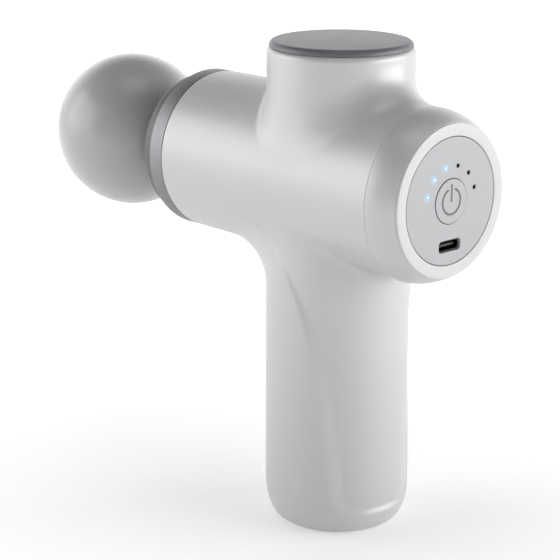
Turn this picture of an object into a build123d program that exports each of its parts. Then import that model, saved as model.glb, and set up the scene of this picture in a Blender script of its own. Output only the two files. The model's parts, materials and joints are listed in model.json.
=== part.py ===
from build123d import *
import math
import os

# Percussion massage gun, millimetres.
# Origin: centre of the flat base under the handle, on the handle's axis.
# +Z up, -X towards the ball head, +X towards the control panel.

# ---------------------------------------------------------------- driving sizes
AXIS_H = 109.0            # height of the barrel's axis above the base
HANDLE_R = 22.4           # handle and top boss share this radius
BASE_FLAT_R = 17.4        # flat under the handle
BASE_EDGE_H = 13.0        # height of the rounded edge round the flat
BARREL_FRONT_R = 25.3
BARREL_REAR_R = 26.1
X_FRONT = -54.1           # front end of the main housing
X_SEAM = 35.4             # joint between main housing and rear cover
X_PANEL = 45.0            # outer face of the control panel
BOSS_H = 39.9             # top rim of the boss above the barrel's axis
TOP_H = 41.7              # top of the cap above the barrel's axis
WALL = 2.2
THROAT_BLEND = 12.0       # blend between handle and barrel
BOSS_BLEND = 5.0          # blend between top boss and barrel
TOP_ROUND = 1.6           # rounded rim round the cap
BORE_R = 23.2             # inside of the barrel
HANDLE_BORE_R = 20.2      # inside of the handle and boss

RING_LEN = 5.8            # bright ring round the nose
RING_INNER_R = 21.5
NOSE_TIP_X = -66.5
NOSE_R = 23.4
PISTON_R = 7.0
BUSH_R = 9.0
SOCKET_R = 4.8            # bore in the piston that holds the head's shank
SOCKET_DEPTH = 20.5
PISTON_TIP_X = -68.5
BALL_R = 25.4
BALL_X = -98.6

CRANK_R = 4.0             # half of the 8 mm stroke
SHAFT_R = CRANK_R / 2     # the round key sits on the shaft's surface, at half the crank radius
CRANK_PIN_R = 2.5
KEY_R = 0.75
RUNNING = 0.03            # radial clearance of every running fit
BLOCK_SIDE = 10.0         # slide block, square in plan
YOKE_WALL = 3.0
YOKE_LOW, YOKE_HIGH = -5.0, 5.0
WEB_LOW, WEB_HIGH = 8.0, 15.0
PLATE_LOW, PLATE_HIGH = 16.5, 19.5

PANEL_R = 18.85
BEZEL_IN_R = 19.0
RECESS_R = 22.6           # recess in the rear cover that takes the bezel
LED_CIRCLE_R = 10.45
LED_R = 0.62
LED_ANGLES = [165, 135, 105, 75, 45, 15]
BUTTON_R = 6.6
BUTTON_PROUD = 0.2
BUTTON_TRAVEL = 0.4
USB_Z = -13.2             # middle of the charging port below the barrel's axis
PORT_HOLE = (9.2, 3.3)
PORT_CORNER_R = 1.1
BOARD_R = 17.4
BOARD_REAR_X = 38.6
BOARD_T = 1.6

CELL_R = 9.15             # 18650 cells
CELL_LEN = 65.0
CELL_PITCH = 18.6
CELL_Z = 9.0

pieces = {}


# ---------------------------------------------------------------- helpers
def across(x):
    """Plane across the barrel at x; its axes are +Y and +Z and its normal is +X."""
    return Plane(origin=(x, 0, AXIS_H), x_dir=(0, 1, 0), z_dir=(1, 0, 0))


BARREL_AXIS = Axis((0, 0, AXIS_H), (1, 0, 0))
LENGTHWISE = Plane(origin=(0, 0, AXIS_H), x_dir=(1, 0, 0), z_dir=(0, -1, 0))


def disc_x(x0, x1, radius, centre=(0, 0), mode=Mode.ADD):
    """Round bar along the barrel, from x0 to x1."""
    with BuildSketch(across(x0)) as outline:
        with Locations(centre):
            Circle(radius)
    extrude(outline.sketch, amount=x1 - x0, mode=mode)


def disc_z(z0, z1, radius, centre=(0, 0), mode=Mode.ADD):
    """Upright round bar, with heights measured from the barrel's axis."""
    with BuildSketch(Plane.XY.offset(AXIS_H + z0)) as outline:
        with Locations(centre):
            Circle(radius)
    extrude(outline.sketch, amount=z1 - z0, mode=mode)


def block(x_span, y_span, z_span, mode=Mode.ADD):
    """Box between pairs of limits, with heights measured from the barrel's axis."""
    middle = [sum(span) / 2 for span in (x_span, y_span, z_span)]
    with Locations((middle[0], middle[1], AXIS_H + middle[2])):
        Box(x_span[1] - x_span[0], y_span[1] - y_span[0], z_span[1] - z_span[0], mode=mode)


def ring_of(count, radius, start=0):
    """Points evenly spaced on a circle."""
    angles = [math.radians(start + 360 * i / count) for i in range(count)]
    return [(radius * math.cos(a), radius * math.sin(a)) for a in angles]


def cross_cut(plane, points, depth, width):
    """Cross recesses sunk into screw heads; the plane faces out of the heads."""
    with BuildSketch(plane) as outline:
        with Locations(points):
            Rectangle(width, width / 4)
            Rectangle(width / 4, width)
    extrude(outline.sketch, amount=-depth, mode=Mode.SUBTRACT)


def lead(points, radius, bend):
    """Insulated wire along straight runs joined by arcs."""
    with BuildLine() as route:
        FilletPolyline(*points, radius=bend)
    with BuildSketch(Plane(origin=points[0], z_dir=Vector(*points[1]) - Vector(*points[0]))) as section:
        Circle(radius)
    sweep(section.sketch, path=route.wire())


# ---------------------------------------------------------------- main housing
REAR_POSTS = ring_of(4, 20.4)            # take the rear cover's screws
LUG_CIRCLE_R, LUG_ANGLE = 20.5, 40
FRAME_LUGS = [                           # take the drive frame's screws
    (LUG_CIRCLE_R * math.cos(math.radians(a)), LUG_CIRCLE_R * math.sin(math.radians(a)))
    for a in (LUG_ANGLE, 180 - LUG_ANGLE, 180 + LUG_ANGLE, 360 - LUG_ANGLE)
]
NOSE_HOLES = ring_of(4, 16.5, start=45)
POST_R = 3.0
PILOT_R = 0.8             # hole that a self-tapping screw cuts its thread in
SCREW_R = 0.8
SCREW_HEAD_R = 1.9
SCREW_HEAD_T = 1.5
HEAD_GAP = 0.15           # round a sunk screw head
CROSS_DEPTH, CROSS_W = 0.8, 2.4
CLEAR_R = 1.1             # hole that a screw passes through
FRONT_WALL_X = -51.5      # inner face of the housing's front wall
LUG_X = (12.5, 16.5)
POST_X = (24.0, 35.2)
FLANGE_X = (17.5, 20.0)

with BuildPart() as main_housing:
    # barrel, widening slightly towards the rear
    with BuildSketch(LENGTHWISE):
        with BuildLine():
            Polyline((X_FRONT, 0), (X_FRONT, BARREL_FRONT_R), (X_SEAM, BARREL_REAR_R), (X_SEAM, 0))
            Line((X_SEAM, 0), (X_FRONT, 0))
        make_face()
    revolve(axis=BARREL_AXIS)
    # handle with its rounded foot
    with BuildSketch(Plane.XZ):
        with BuildLine():
            Line((0, 0), (BASE_FLAT_R, 0))
            EllipticalCenterArc(
                (BASE_FLAT_R, BASE_EDGE_H), HANDLE_R - BASE_FLAT_R, BASE_EDGE_H, 270, arc_size=90
            )
            Polyline((HANDLE_R, BASE_EDGE_H), (HANDLE_R, AXIS_H), (0, AXIS_H), (0, 0))
        make_face()
    revolve(axis=Axis.Z)
    disc_z(0, BOSS_H, HANDLE_R)
    # blends where handle and boss meet the barrel
    crossings = main_housing.edges().filter_by(GeomType.BSPLINE)
    fillet(crossings.filter_by_position(Axis.Z, 0, AXIS_H), radius=THROAT_BLEND)
    crossings = main_housing.edges().filter_by(GeomType.BSPLINE)
    fillet(crossings.filter_by_position(Axis.Z, AXIS_H, AXIS_H + BARREL_REAR_R), radius=BOSS_BLEND)
    fillet(main_housing.edges().filter_by(GeomType.CIRCLE).sort_by(Axis.Z)[-1], radius=TOP_ROUND)
    # hollow inside: barrel, handle and boss
    disc_x(FRONT_WALL_X, X_SEAM, BORE_R, mode=Mode.SUBTRACT)
    with BuildSketch(Plane.XZ):
        with BuildLine():
            Line((0, WALL), (BASE_FLAT_R - WALL, WALL))
            EllipticalCenterArc(
                (BASE_FLAT_R - WALL, BASE_EDGE_H), HANDLE_R - BASE_FLAT_R, BASE_EDGE_H - WALL, 270, arc_size=90
            )
            Polyline(
                (HANDLE_BORE_R, BASE_EDGE_H), (HANDLE_BORE_R, AXIS_H + BOSS_H), (0, AXIS_H + BOSS_H), (0, WALL)
            )
        make_face()
    revolve(axis=Axis.Z, mode=Mode.SUBTRACT)
    disc_x(X_FRONT, FRONT_WALL_X, BUSH_R + 0.1, mode=Mode.SUBTRACT)
    # lugs for the drive frame and posts for the rear cover
    for point in FRAME_LUGS:
        disc_x(*LUG_X, POST_R, point)
        disc_x(*LUG_X, PILOT_R, point, mode=Mode.SUBTRACT)
    for point in REAR_POSTS:
        disc_x(*POST_X, POST_R, point)
        disc_x(POST_X[0] + 2, POST_X[1], PILOT_R, point, mode=Mode.SUBTRACT)
    for point in NOSE_HOLES:
        disc_x(X_FRONT, FRONT_WALL_X, CLEAR_R, point, mode=Mode.SUBTRACT)
pieces["main_housing"] = main_housing

# ---------------------------------------------------------------- top cap
CAP_R = 21.75
CAP_ROUND = 1.7
CAP_SPIGOT_R = HANDLE_BORE_R - 0.1
CAP_SPIGOT_L = 3.0
CAP_SPIGOT_WALL = 1.8
CAP_WEB_T = 1.2           # solid part of the spigot, under the cap
with BuildPart() as top_cap:
    disc_z(BOSS_H, TOP_H, CAP_R)
    fillet(top_cap.edges().filter_by(GeomType.CIRCLE).sort_by(Axis.Z)[-1], radius=CAP_ROUND)
    disc_z(BOSS_H - CAP_SPIGOT_L, BOSS_H, CAP_SPIGOT_R)
    disc_z(BOSS_H - CAP_SPIGOT_L, BOSS_H - CAP_WEB_T, CAP_SPIGOT_R - CAP_SPIGOT_WALL, mode=Mode.SUBTRACT)
pieces["top_cap"] = top_cap

# ---------------------------------------------------------------- front ring, nose, bush and seal
SEAL_SEAT_R = 9.4
SEAL_X = (-65.3, -61.5)
SEAL_LIP_L = 1.2
SEAL_GROOVE = 0.9         # depth of the groove between the seal's two lips
NOSE_GAP = 0.8            # round the piston where it leaves the nose
RING_EDGE = 0.35
with BuildPart() as front_ring:
    disc_x(X_FRONT - RING_LEN, X_FRONT, BARREL_FRONT_R)
    fillet(front_ring.edges().filter_by(GeomType.CIRCLE), radius=RING_EDGE)
    disc_x(X_FRONT - RING_LEN, X_FRONT, RING_INNER_R, mode=Mode.SUBTRACT)
pieces["front_ring"] = front_ring

NOSE_BACK_X = X_FRONT - RING_LEN
NOSE_HOLLOW_X = NOSE_BACK_X - 3.4
NOSE_ROUND = 3.0
NOSE_WALL = 1.8
NOSE_POST_R = 2.8
with BuildPart() as front_nose:
    disc_x(NOSE_TIP_X, NOSE_BACK_X, NOSE_R)
    fillet(front_nose.edges().filter_by(GeomType.CIRCLE).sort_by(Axis.X)[0], radius=NOSE_ROUND)
    disc_x(NOSE_BACK_X, X_FRONT, RING_INNER_R - 0.1)
    # hollow behind the face, between the seal's seat and the rim
    disc_x(NOSE_HOLLOW_X, X_FRONT, RING_INNER_R - NOSE_WALL, mode=Mode.SUBTRACT)
    disc_x(NOSE_HOLLOW_X, X_FRONT, SEAL_SEAT_R + NOSE_WALL)
    for point in NOSE_HOLES:
        disc_x(NOSE_HOLLOW_X, X_FRONT, NOSE_POST_R, point)
        disc_x(NOSE_BACK_X, X_FRONT, PILOT_R, point, mode=Mode.SUBTRACT)
    disc_x(NOSE_TIP_X, X_FRONT, PISTON_R + NOSE_GAP, mode=Mode.SUBTRACT)
    disc_x(SEAL_X[0], X_FRONT, SEAL_SEAT_R, mode=Mode.SUBTRACT)
pieces["front_nose"] = front_nose

with BuildPart() as wiper_seal:
    disc_x(*SEAL_X, SEAL_SEAT_R - 0.02)
    disc_x(*SEAL_X, PISTON_R + 0.08, mode=Mode.SUBTRACT)
    disc_x(SEAL_X[0] + SEAL_LIP_L, SEAL_X[1] - SEAL_LIP_L, PISTON_R + SEAL_GROOVE, mode=Mode.SUBTRACT)
pieces["wiper_seal"] = wiper_seal

BUSH_X = (-53.6, -30.0)
BUSH_FLANGE_X = (FRONT_WALL_X, FRONT_WALL_X + 2.0)
BUSH_FLANGE_R = BUSH_R + 2.4
with BuildPart() as piston_bush:
    disc_x(*BUSH_X, BUSH_R)
    disc_x(*BUSH_FLANGE_X, BUSH_FLANGE_R)
    disc_x(*BUSH_X, PISTON_R + RUNNING, mode=Mode.SUBTRACT)
pieces["piston_bush"] = piston_bush

with BuildPart() as nose_screws:
    for point in NOSE_HOLES:
        disc_x(FRONT_WALL_X, FRONT_WALL_X + SCREW_HEAD_T, SCREW_HEAD_R, point)
        disc_x(NOSE_BACK_X + 0.5, FRONT_WALL_X, SCREW_R, point)
    cross_cut(across(FRONT_WALL_X + SCREW_HEAD_T), NOSE_HOLES, CROSS_DEPTH, CROSS_W)
pieces["nose_screws"] = nose_screws

# ---------------------------------------------------------------- drive frame
CHEEK_Y = (14.0, 16.5)
CHEEK_H = 9.8
BULKHEAD_X = (BUSH_FLANGE_X[1], BUSH_FLANGE_X[1] + 3.0)
BULKHEAD_R = 16.8
BUSH_TUBE_WALL = 2.2
FLOOR_T = 2.0
WINDOW_X, WINDOW_W, WINDOW_H = (-36, -19), 12, 10
EAR_MID, EAR_W, EAR_H = 15.6, 5.2, 36
POST_HALF_X = 7.0         # half-width of the posts that carry the motor plate
PLATE_POSTS = [(x, sign * sum(CHEEK_Y) / 2) for x in (-5, 5) for sign in (-1, 1)]
with BuildPart() as drive_frame:
    # side cheeks with lightening windows, and the posts that carry the motor plate
    for side in (1, -1):
        cheek_y = sorted(side * y for y in CHEEK_Y)
        block((BULKHEAD_X[0], FLANGE_X[1]), cheek_y, (-CHEEK_H, CHEEK_H))
        block((-POST_HALF_X, POST_HALF_X), cheek_y, (CHEEK_H, PLATE_LOW))
    for x in WINDOW_X:
        with Locations((x, 0, AXIS_H)):
            Box(WINDOW_W, 3 * CHEEK_Y[1], WINDOW_H, mode=Mode.SUBTRACT)
    block((BULKHEAD_X[0], FLANGE_X[1]), (-CHEEK_Y[0], CHEEK_Y[0]), (-CHEEK_H, -CHEEK_H + FLOOR_T))
    # front bulkhead and the tube round the bush
    disc_x(*BULKHEAD_X, BULKHEAD_R)
    disc_x(BULKHEAD_X[1], BUSH_X[1], BUSH_R + BUSH_TUBE_WALL)
    disc_x(BULKHEAD_X[0], BUSH_X[1], BUSH_R + 0.02, mode=Mode.SUBTRACT)
    # rear ears, screwed to the housing's lugs
    with BuildSketch(across(FLANGE_X[0])):
        with Locations((-EAR_MID, 0), (EAR_MID, 0)):
            Rectangle(EAR_W, EAR_H)
        Circle(BORE_R - 0.6, mode=Mode.INTERSECT)
        with Locations(REAR_POSTS):
            Circle(POST_R + 0.5, mode=Mode.SUBTRACT)
    extrude(amount=FLANGE_X[1] - FLANGE_X[0])
    for point in FRAME_LUGS:
        disc_x(*FLANGE_X, CLEAR_R, point, mode=Mode.SUBTRACT)
    for point in PLATE_POSTS:
        disc_z(PLATE_LOW - 6, PLATE_LOW, PILOT_R, point, mode=Mode.SUBTRACT)
pieces["drive_frame"] = drive_frame

with BuildPart() as frame_grommets:
    for point in FRAME_LUGS:
        disc_x(LUG_X[1], FLANGE_X[0], POST_R - 0.4, point)
        disc_x(LUG_X[1], FLANGE_X[0], CLEAR_R, point, mode=Mode.SUBTRACT)
pieces["frame_grommets"] = frame_grommets

with BuildPart() as frame_screws:
    for point in FRAME_LUGS:
        disc_x(FLANGE_X[1], FLANGE_X[1] + SCREW_HEAD_T, SCREW_HEAD_R, point)
        disc_x(LUG_X[0] + 0.5, FLANGE_X[1], SCREW_R, point)
    cross_cut(across(FLANGE_X[1] + SCREW_HEAD_T), FRAME_LUGS, CROSS_DEPTH, CROSS_W)
pieces["frame_screws"] = frame_screws

# ---------------------------------------------------------------- motor
PLATE_R = 19.6
LEAD_R = 0.6
LEAD_X = 18.3                             # where the motor's leads drop past the plate
TUBE_R = 6.0
TUBE_LOW, TUBE_HIGH = 16.7, 33.5
BEARING_R, BEARING_T = 4.5, 4.0           # 4 x 9 x 4 mm ball bearings
BASE_R = 13.8
BASE_TOP = 21.3
MOTOR_HOLES = ring_of(4, 10.0)
SINK = 1.7                # depth of the motor screws' counterbores
BELL_T = 1.8              # end plate of the bell
BELL_R = 17.5
BELL_LOW, BELL_HIGH = 23.0, 36.0
BELL_ROUND = 1.2
VENTS = (6, 9.5)          # count and circle of the holes in the bell's end
VENT_R = 3.0
MAGNET_R = (15.1, 16.3)
MAGNETS = 14
MAGNET_GAP = 0.6
TEETH = 12
TIP_T = 1.3               # thickness of the teeth's outer tips
TOOTH_W = 2.2
TOOTH_SPAN = (7.2, 14.5)  # inner and outer radius of a tooth
CORE_HUB_T = 2.8
SLOT_W = 1.6              # gap between neighbouring tips
COIL = (3.9, 4.2)         # radial length and width of a coil
COIL_R = 11.15
COIL_END = 1.2            # how far a coil stands above and below the core
CORE_Z = (24.5, 31.5)
CORE_R = 14.6

with BuildPart() as motor_plate:
    disc_z(PLATE_LOW, PLATE_HIGH, PLATE_R)
    disc_z(PLATE_LOW, PLATE_HIGH, TUBE_R + 0.1, mode=Mode.SUBTRACT)
    block((LEAD_X - 1.4, PLATE_R + 1), (-4, 4), (PLATE_LOW, PLATE_HIGH), mode=Mode.SUBTRACT)
    for point in PLATE_POSTS:
        disc_z(PLATE_LOW, PLATE_HIGH, CLEAR_R, point, mode=Mode.SUBTRACT)
    for point in MOTOR_HOLES:
        disc_z(PLATE_LOW, PLATE_HIGH, CLEAR_R, point, mode=Mode.SUBTRACT)
        disc_z(PLATE_LOW, PLATE_LOW + SINK, SCREW_HEAD_R + HEAD_GAP, point, mode=Mode.SUBTRACT)
pieces["motor_plate"] = motor_plate

with BuildPart() as plate_screws:
    for point in PLATE_POSTS:
        disc_z(PLATE_HIGH, PLATE_HIGH + SCREW_HEAD_T, SCREW_HEAD_R, point)
        disc_z(PLATE_LOW - 5, PLATE_HIGH, SCREW_R, point)
    cross_cut(Plane.XY.offset(AXIS_H + PLATE_HIGH + SCREW_HEAD_T), PLATE_POSTS, CROSS_DEPTH, CROSS_W)
pieces["plate_screws"] = plate_screws

with BuildPart() as motor_base:
    disc_z(PLATE_HIGH, BASE_TOP, BASE_R)
    disc_z(TUBE_LOW, TUBE_HIGH, TUBE_R)
    disc_z(TUBE_LOW, TUBE_HIGH, SHAFT_R + 1, mode=Mode.SUBTRACT)
    disc_z(TUBE_LOW, TUBE_LOW + BEARING_T, BEARING_R, mode=Mode.SUBTRACT)
    disc_z(TUBE_HIGH - BEARING_T, TUBE_HIGH, BEARING_R, mode=Mode.SUBTRACT)
    for point in MOTOR_HOLES:
        disc_z(PLATE_HIGH, BASE_TOP, PILOT_R, point, mode=Mode.SUBTRACT)
pieces["motor_base"] = motor_base

with BuildPart() as motor_screws:
    for point in MOTOR_HOLES:
        disc_z(PLATE_LOW + 0.2, PLATE_LOW + SINK, SCREW_HEAD_R, point)
        disc_z(PLATE_LOW + SINK, BASE_TOP, SCREW_R, point)
pieces["motor_screws"] = motor_screws

with BuildPart() as motor_bearings:
    for low in (TUBE_LOW, TUBE_HIGH - BEARING_T):
        disc_z(low, low + BEARING_T, BEARING_R)
        disc_z(low, low + BEARING_T, SHAFT_R + RUNNING, mode=Mode.SUBTRACT)
        # shallow track between the two races, on both faces
        for face in (low, low + BEARING_T - 0.3):
            with BuildSketch(Plane.XY.offset(AXIS_H + face)) as track:
                Circle(3.9)
                Circle(2.7, mode=Mode.SUBTRACT)
            extrude(track.sketch, amount=0.3, mode=Mode.SUBTRACT)
pieces["motor_bearings"] = motor_bearings

TIP_R = CORE_R - TIP_T
with BuildPart() as stator_core:
    with BuildSketch(Plane.XY.offset(AXIS_H + CORE_Z[0])):
        Circle(CORE_R)
        Circle(TIP_R, mode=Mode.SUBTRACT)
        with PolarLocations(TIP_R, TEETH, start_angle=180 / TEETH):
            Rectangle(3 * TIP_T, SLOT_W, mode=Mode.SUBTRACT)
        Circle(TUBE_R + CORE_HUB_T)
        with PolarLocations(sum(TOOTH_SPAN) / 2, TEETH):
            Rectangle(TOOTH_SPAN[1] - TOOTH_SPAN[0], TOOTH_W)
        Circle(TUBE_R, mode=Mode.SUBTRACT)
    extrude(amount=CORE_Z[1] - CORE_Z[0])
pieces["stator_core"] = stator_core

with BuildPart() as stator_coils:
    with PolarLocations(COIL_R, TEETH):
        with Locations((0, 0, AXIS_H + sum(CORE_Z) / 2)):
            Box(*COIL, CORE_Z[1] - CORE_Z[0] + 2 * COIL_END)
            Box(COIL[0], TOOTH_W, CORE_Z[1] - CORE_Z[0], mode=Mode.SUBTRACT)
pieces["stator_coils"] = stator_coils

with BuildPart() as rotor_bell:
    disc_z(BELL_LOW, BELL_HIGH, BELL_R)
    fillet(rotor_bell.edges().filter_by(GeomType.CIRCLE).sort_by(Axis.Z)[-1], radius=BELL_ROUND)
    disc_z(BELL_LOW, BELL_HIGH - BELL_T, MAGNET_R[1], mode=Mode.SUBTRACT)
    disc_z(BELL_HIGH - BELL_T, BELL_HIGH, SHAFT_R, mode=Mode.SUBTRACT)
    for point in ring_of(*VENTS):
        disc_z(BELL_HIGH - BELL_T, BELL_HIGH, VENT_R, point, mode=Mode.SUBTRACT)
pieces["rotor_bell"] = rotor_bell

with BuildPart() as rotor_magnets:
    disc_z(BELL_LOW + 0.5, BELL_HIGH - 3.0, MAGNET_R[1])
    disc_z(BELL_LOW + 0.5, BELL_HIGH - 3.0, MAGNET_R[0], mode=Mode.SUBTRACT)
    with PolarLocations(sum(MAGNET_R) / 2, MAGNETS):
        with Locations((0, 0, AXIS_H + (BELL_LOW + BELL_HIGH) / 2)):
            Box(BEARING_R, MAGNET_GAP, BELL_R, mode=Mode.SUBTRACT)
pieces["rotor_magnets"] = rotor_magnets

# ---------------------------------------------------------------- crank, slide block and yoke
SHAFT_LOW = 10.5
KEY_Z = (SHAFT_LOW + 0.2, WEB_HIGH - 0.1)
KEY_HOLE_R = KEY_R + RUNNING
WEB_R = 8.5
WEIGHT_R = 13.5
PIN_LOW = -4.8
BLOCK_H = 4.0             # half-height of the slide block
CLIP_Z = (-4.6, -4.2)
KEY_AT = (SHAFT_R, 0)
PIN_AT = (CRANK_R, 0)

with BuildPart() as motor_shaft:
    disc_z(SHAFT_LOW, BELL_HIGH, SHAFT_R)
    disc_z(SHAFT_LOW, WEB_HIGH, KEY_HOLE_R, KEY_AT, mode=Mode.SUBTRACT)
pieces["motor_shaft"] = motor_shaft

with BuildPart() as crank_web:
    disc_z(WEB_LOW, WEB_HIGH, WEB_R)
    disc_z(SHAFT_LOW, WEB_HIGH, SHAFT_R, mode=Mode.SUBTRACT)
    disc_z(SHAFT_LOW, WEB_HIGH, KEY_HOLE_R, KEY_AT, mode=Mode.SUBTRACT)
    disc_z(WEB_LOW, WEB_LOW + 2, CRANK_PIN_R, PIN_AT, mode=Mode.SUBTRACT)
pieces["crank_web"] = crank_web

with BuildPart() as counterweight:
    disc_z(WEB_LOW, WEB_HIGH, WEIGHT_R)
    disc_z(WEB_LOW, WEB_HIGH, WEB_R, mode=Mode.SUBTRACT)
    block((0, 20), (-20, 20), (WEB_LOW, WEB_HIGH), mode=Mode.SUBTRACT)
pieces["counterweight"] = counterweight

with BuildPart() as crank_pin:
    disc_z(PIN_LOW, WEB_LOW + 2, CRANK_PIN_R, PIN_AT)
    disc_z(BLOCK_H + 0.2, WEB_LOW, CRANK_PIN_R + 1, PIN_AT)
    # groove for the clip
    with BuildSketch(Plane.XY.offset(AXIS_H + CLIP_Z[0])):
        with Locations(PIN_AT):
            Circle(CRANK_PIN_R)
            Circle(CRANK_PIN_R - 0.5, mode=Mode.SUBTRACT)
    extrude(amount=CLIP_Z[1] - CLIP_Z[0], mode=Mode.SUBTRACT)
pieces["crank_pin"] = crank_pin

with BuildPart() as pin_clip:
    disc_z(*CLIP_Z, CRANK_PIN_R + 1.4, PIN_AT)
    disc_z(*CLIP_Z, CRANK_PIN_R - 0.5, PIN_AT, mode=Mode.SUBTRACT)
    block((CRANK_R, CRANK_R + 6), (-1.2, 1.2), CLIP_Z, mode=Mode.SUBTRACT)
pieces["pin_clip"] = pin_clip

with BuildPart() as crank_key:
    disc_z(*KEY_Z, KEY_R, KEY_AT)
pieces["crank_key"] = crank_key

half_block = BLOCK_SIDE / 2
with BuildPart() as slide_block:
    block((CRANK_R - half_block, CRANK_R + half_block), (-half_block, half_block), (-BLOCK_H, BLOCK_H))
    fillet(slide_block.edges().filter_by(Axis.Z), radius=0.8)
    disc_z(-BLOCK_H, BLOCK_H, CRANK_PIN_R + RUNNING, PIN_AT, mode=Mode.SUBTRACT)
pieces["slide_block"] = slide_block

slot_x = half_block + RUNNING
slot_y = half_block + CRANK_R + 0.6
yoke_x = slot_x + YOKE_WALL
yoke_y = slot_y + YOKE_WALL
with BuildPart() as yoke:
    block((CRANK_R - yoke_x, CRANK_R + yoke_x), (-yoke_y, yoke_y), (YOKE_LOW, YOKE_HIGH))
    fillet(yoke.edges().filter_by(Axis.Z), radius=2.5)
    with Locations((CRANK_R, 0, AXIS_H)):
        Box(2 * slot_x, 2 * slot_y, YOKE_HIGH - YOKE_LOW, mode=Mode.SUBTRACT)
pieces["yoke"] = yoke

with BuildPart() as piston_rod:
    disc_x(PISTON_TIP_X, CRANK_R - yoke_x, PISTON_R)
    chamfer(piston_rod.edges().filter_by(GeomType.CIRCLE).sort_by(Axis.X)[0], length=0.4)
    disc_x(PISTON_TIP_X, PISTON_TIP_X + SOCKET_DEPTH, SOCKET_R, mode=Mode.SUBTRACT)
    disc_x(PISTON_TIP_X + SOCKET_DEPTH + 4, CRANK_R - yoke_x - 6, 4.0, mode=Mode.SUBTRACT)
pieces["piston_rod"] = piston_rod

# ---------------------------------------------------------------- ball head
SHANK_R = SOCKET_R - 0.08
SHANK_END_X = PISTON_TIP_X + SOCKET_DEPTH - 1
NECK_R = 8.6
NECK_BACK_X = -77.0       # the neck starts a little inside the ball
STEM_R = 6.0
STEM_END_X = -106.0
STEM_DISC_X = (-92.0, -89.0)
STEM_DISC_R = 12.0
ORING_X = PISTON_TIP_X + 9
ORING_R = 0.92
GROOVE_R = 2.93

with BuildPart() as head_stem:
    disc_x(STEM_END_X, NECK_BACK_X, STEM_R)
    disc_x(*STEM_DISC_X, STEM_DISC_R)
    with BuildSketch(LENGTHWISE):
        with BuildLine():
            Polyline((NECK_BACK_X, 0), (NECK_BACK_X, NECK_R), (PISTON_TIP_X - 1.5, NECK_R))
            Polyline((PISTON_TIP_X - 1.5, NECK_R), (PISTON_TIP_X - 0.1, NECK_R - 1.4), (PISTON_TIP_X - 0.1, 0))
            Line((PISTON_TIP_X - 0.1, 0), (NECK_BACK_X, 0))
        make_face()
    revolve(axis=BARREL_AXIS)
    disc_x(PISTON_TIP_X - 0.1, SHANK_END_X, SHANK_R)
    chamfer(head_stem.edges().filter_by(GeomType.CIRCLE).sort_by(Axis.X)[-1], length=0.8)
    with BuildSketch(across(ORING_X - 1.1)):
        Circle(SHANK_R)
        Circle(GROOVE_R, mode=Mode.SUBTRACT)
    extrude(amount=2.2, mode=Mode.SUBTRACT)
pieces["head_stem"] = head_stem

with BuildPart() as head_oring:
    with BuildSketch(LENGTHWISE):
        with Locations((ORING_X, GROOVE_R + ORING_R)):
            Circle(ORING_R)
    revolve(axis=BARREL_AXIS)
pieces["head_oring"] = head_oring

with BuildPart() as ball_foam:
    with Locations((BALL_X, 0, AXIS_H)):
        Sphere(BALL_R)
    disc_x(STEM_END_X, NECK_BACK_X, STEM_R, mode=Mode.SUBTRACT)
    disc_x(*STEM_DISC_X, STEM_DISC_R, mode=Mode.SUBTRACT)
    disc_x(NECK_BACK_X, NECK_BACK_X + 6, NECK_R, mode=Mode.SUBTRACT)
pieces["ball_foam"] = ball_foam

# ---------------------------------------------------------------- rear cover, bezel and panel
LEDGE_R = 18.0
FLOOR_X = 38.4
SEAT_X = 42.5             # bezel and panel rest against this face
COVER_END_X = 44.5
COVER_END_R = 23.05
TAPER_R = 19.6            # long arc from the seam to the cover's end
BEZEL_X = 45.1
BEZEL_FLANGE_R = 22.95
BEZEL_FACE_R = 22.65
LIP_X = 31.0
LIP_OUT_R = BORE_R - 0.1
LIP_T = 1.5
with BuildPart() as rear_cover:
    with BuildSketch(LENGTHWISE):
        with BuildLine():
            Polyline((FLOOR_X, LEDGE_R), (FLOOR_X, BARREL_REAR_R - WALL), (X_SEAM, BARREL_REAR_R - WALL))
            Line((X_SEAM, BARREL_REAR_R - WALL), (X_SEAM, BARREL_REAR_R))
            RadiusArc((X_SEAM, BARREL_REAR_R), (COVER_END_X, COVER_END_R), TAPER_R)
            Polyline((COVER_END_X, COVER_END_R), (COVER_END_X, RECESS_R), (SEAT_X, RECESS_R))
            Polyline((SEAT_X, RECESS_R), (SEAT_X, LEDGE_R), (FLOOR_X, LEDGE_R))
        make_face()
        with Locations(((LIP_X + FLOOR_X) / 2, LIP_OUT_R - LIP_T / 2)):
            Rectangle(FLOOR_X - LIP_X, LIP_T)
    revolve(axis=BARREL_AXIS)
    for point in REAR_POSTS:
        disc_x(LIP_X, POST_X[1], POST_R + 0.2, point, mode=Mode.SUBTRACT)
        disc_x(X_SEAM, FLOOR_X, POST_R, point)
        disc_x(X_SEAM, SEAT_X, CLEAR_R, point, mode=Mode.SUBTRACT)
        disc_x(SEAT_X - 1.9, SEAT_X, SCREW_HEAD_R + HEAD_GAP, point, mode=Mode.SUBTRACT)
pieces["rear_cover"] = rear_cover

with BuildPart() as cover_screws:
    for point in REAR_POSTS:
        disc_x(SEAT_X - 1.9, SEAT_X - 0.4, SCREW_HEAD_R, point)
        disc_x(POST_X[0] + 2.5, SEAT_X - 1.9, SCREW_R, point)
    cross_cut(across(SEAT_X - 0.4), REAR_POSTS, CROSS_DEPTH, CROSS_W)
pieces["cover_screws"] = cover_screws

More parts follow.
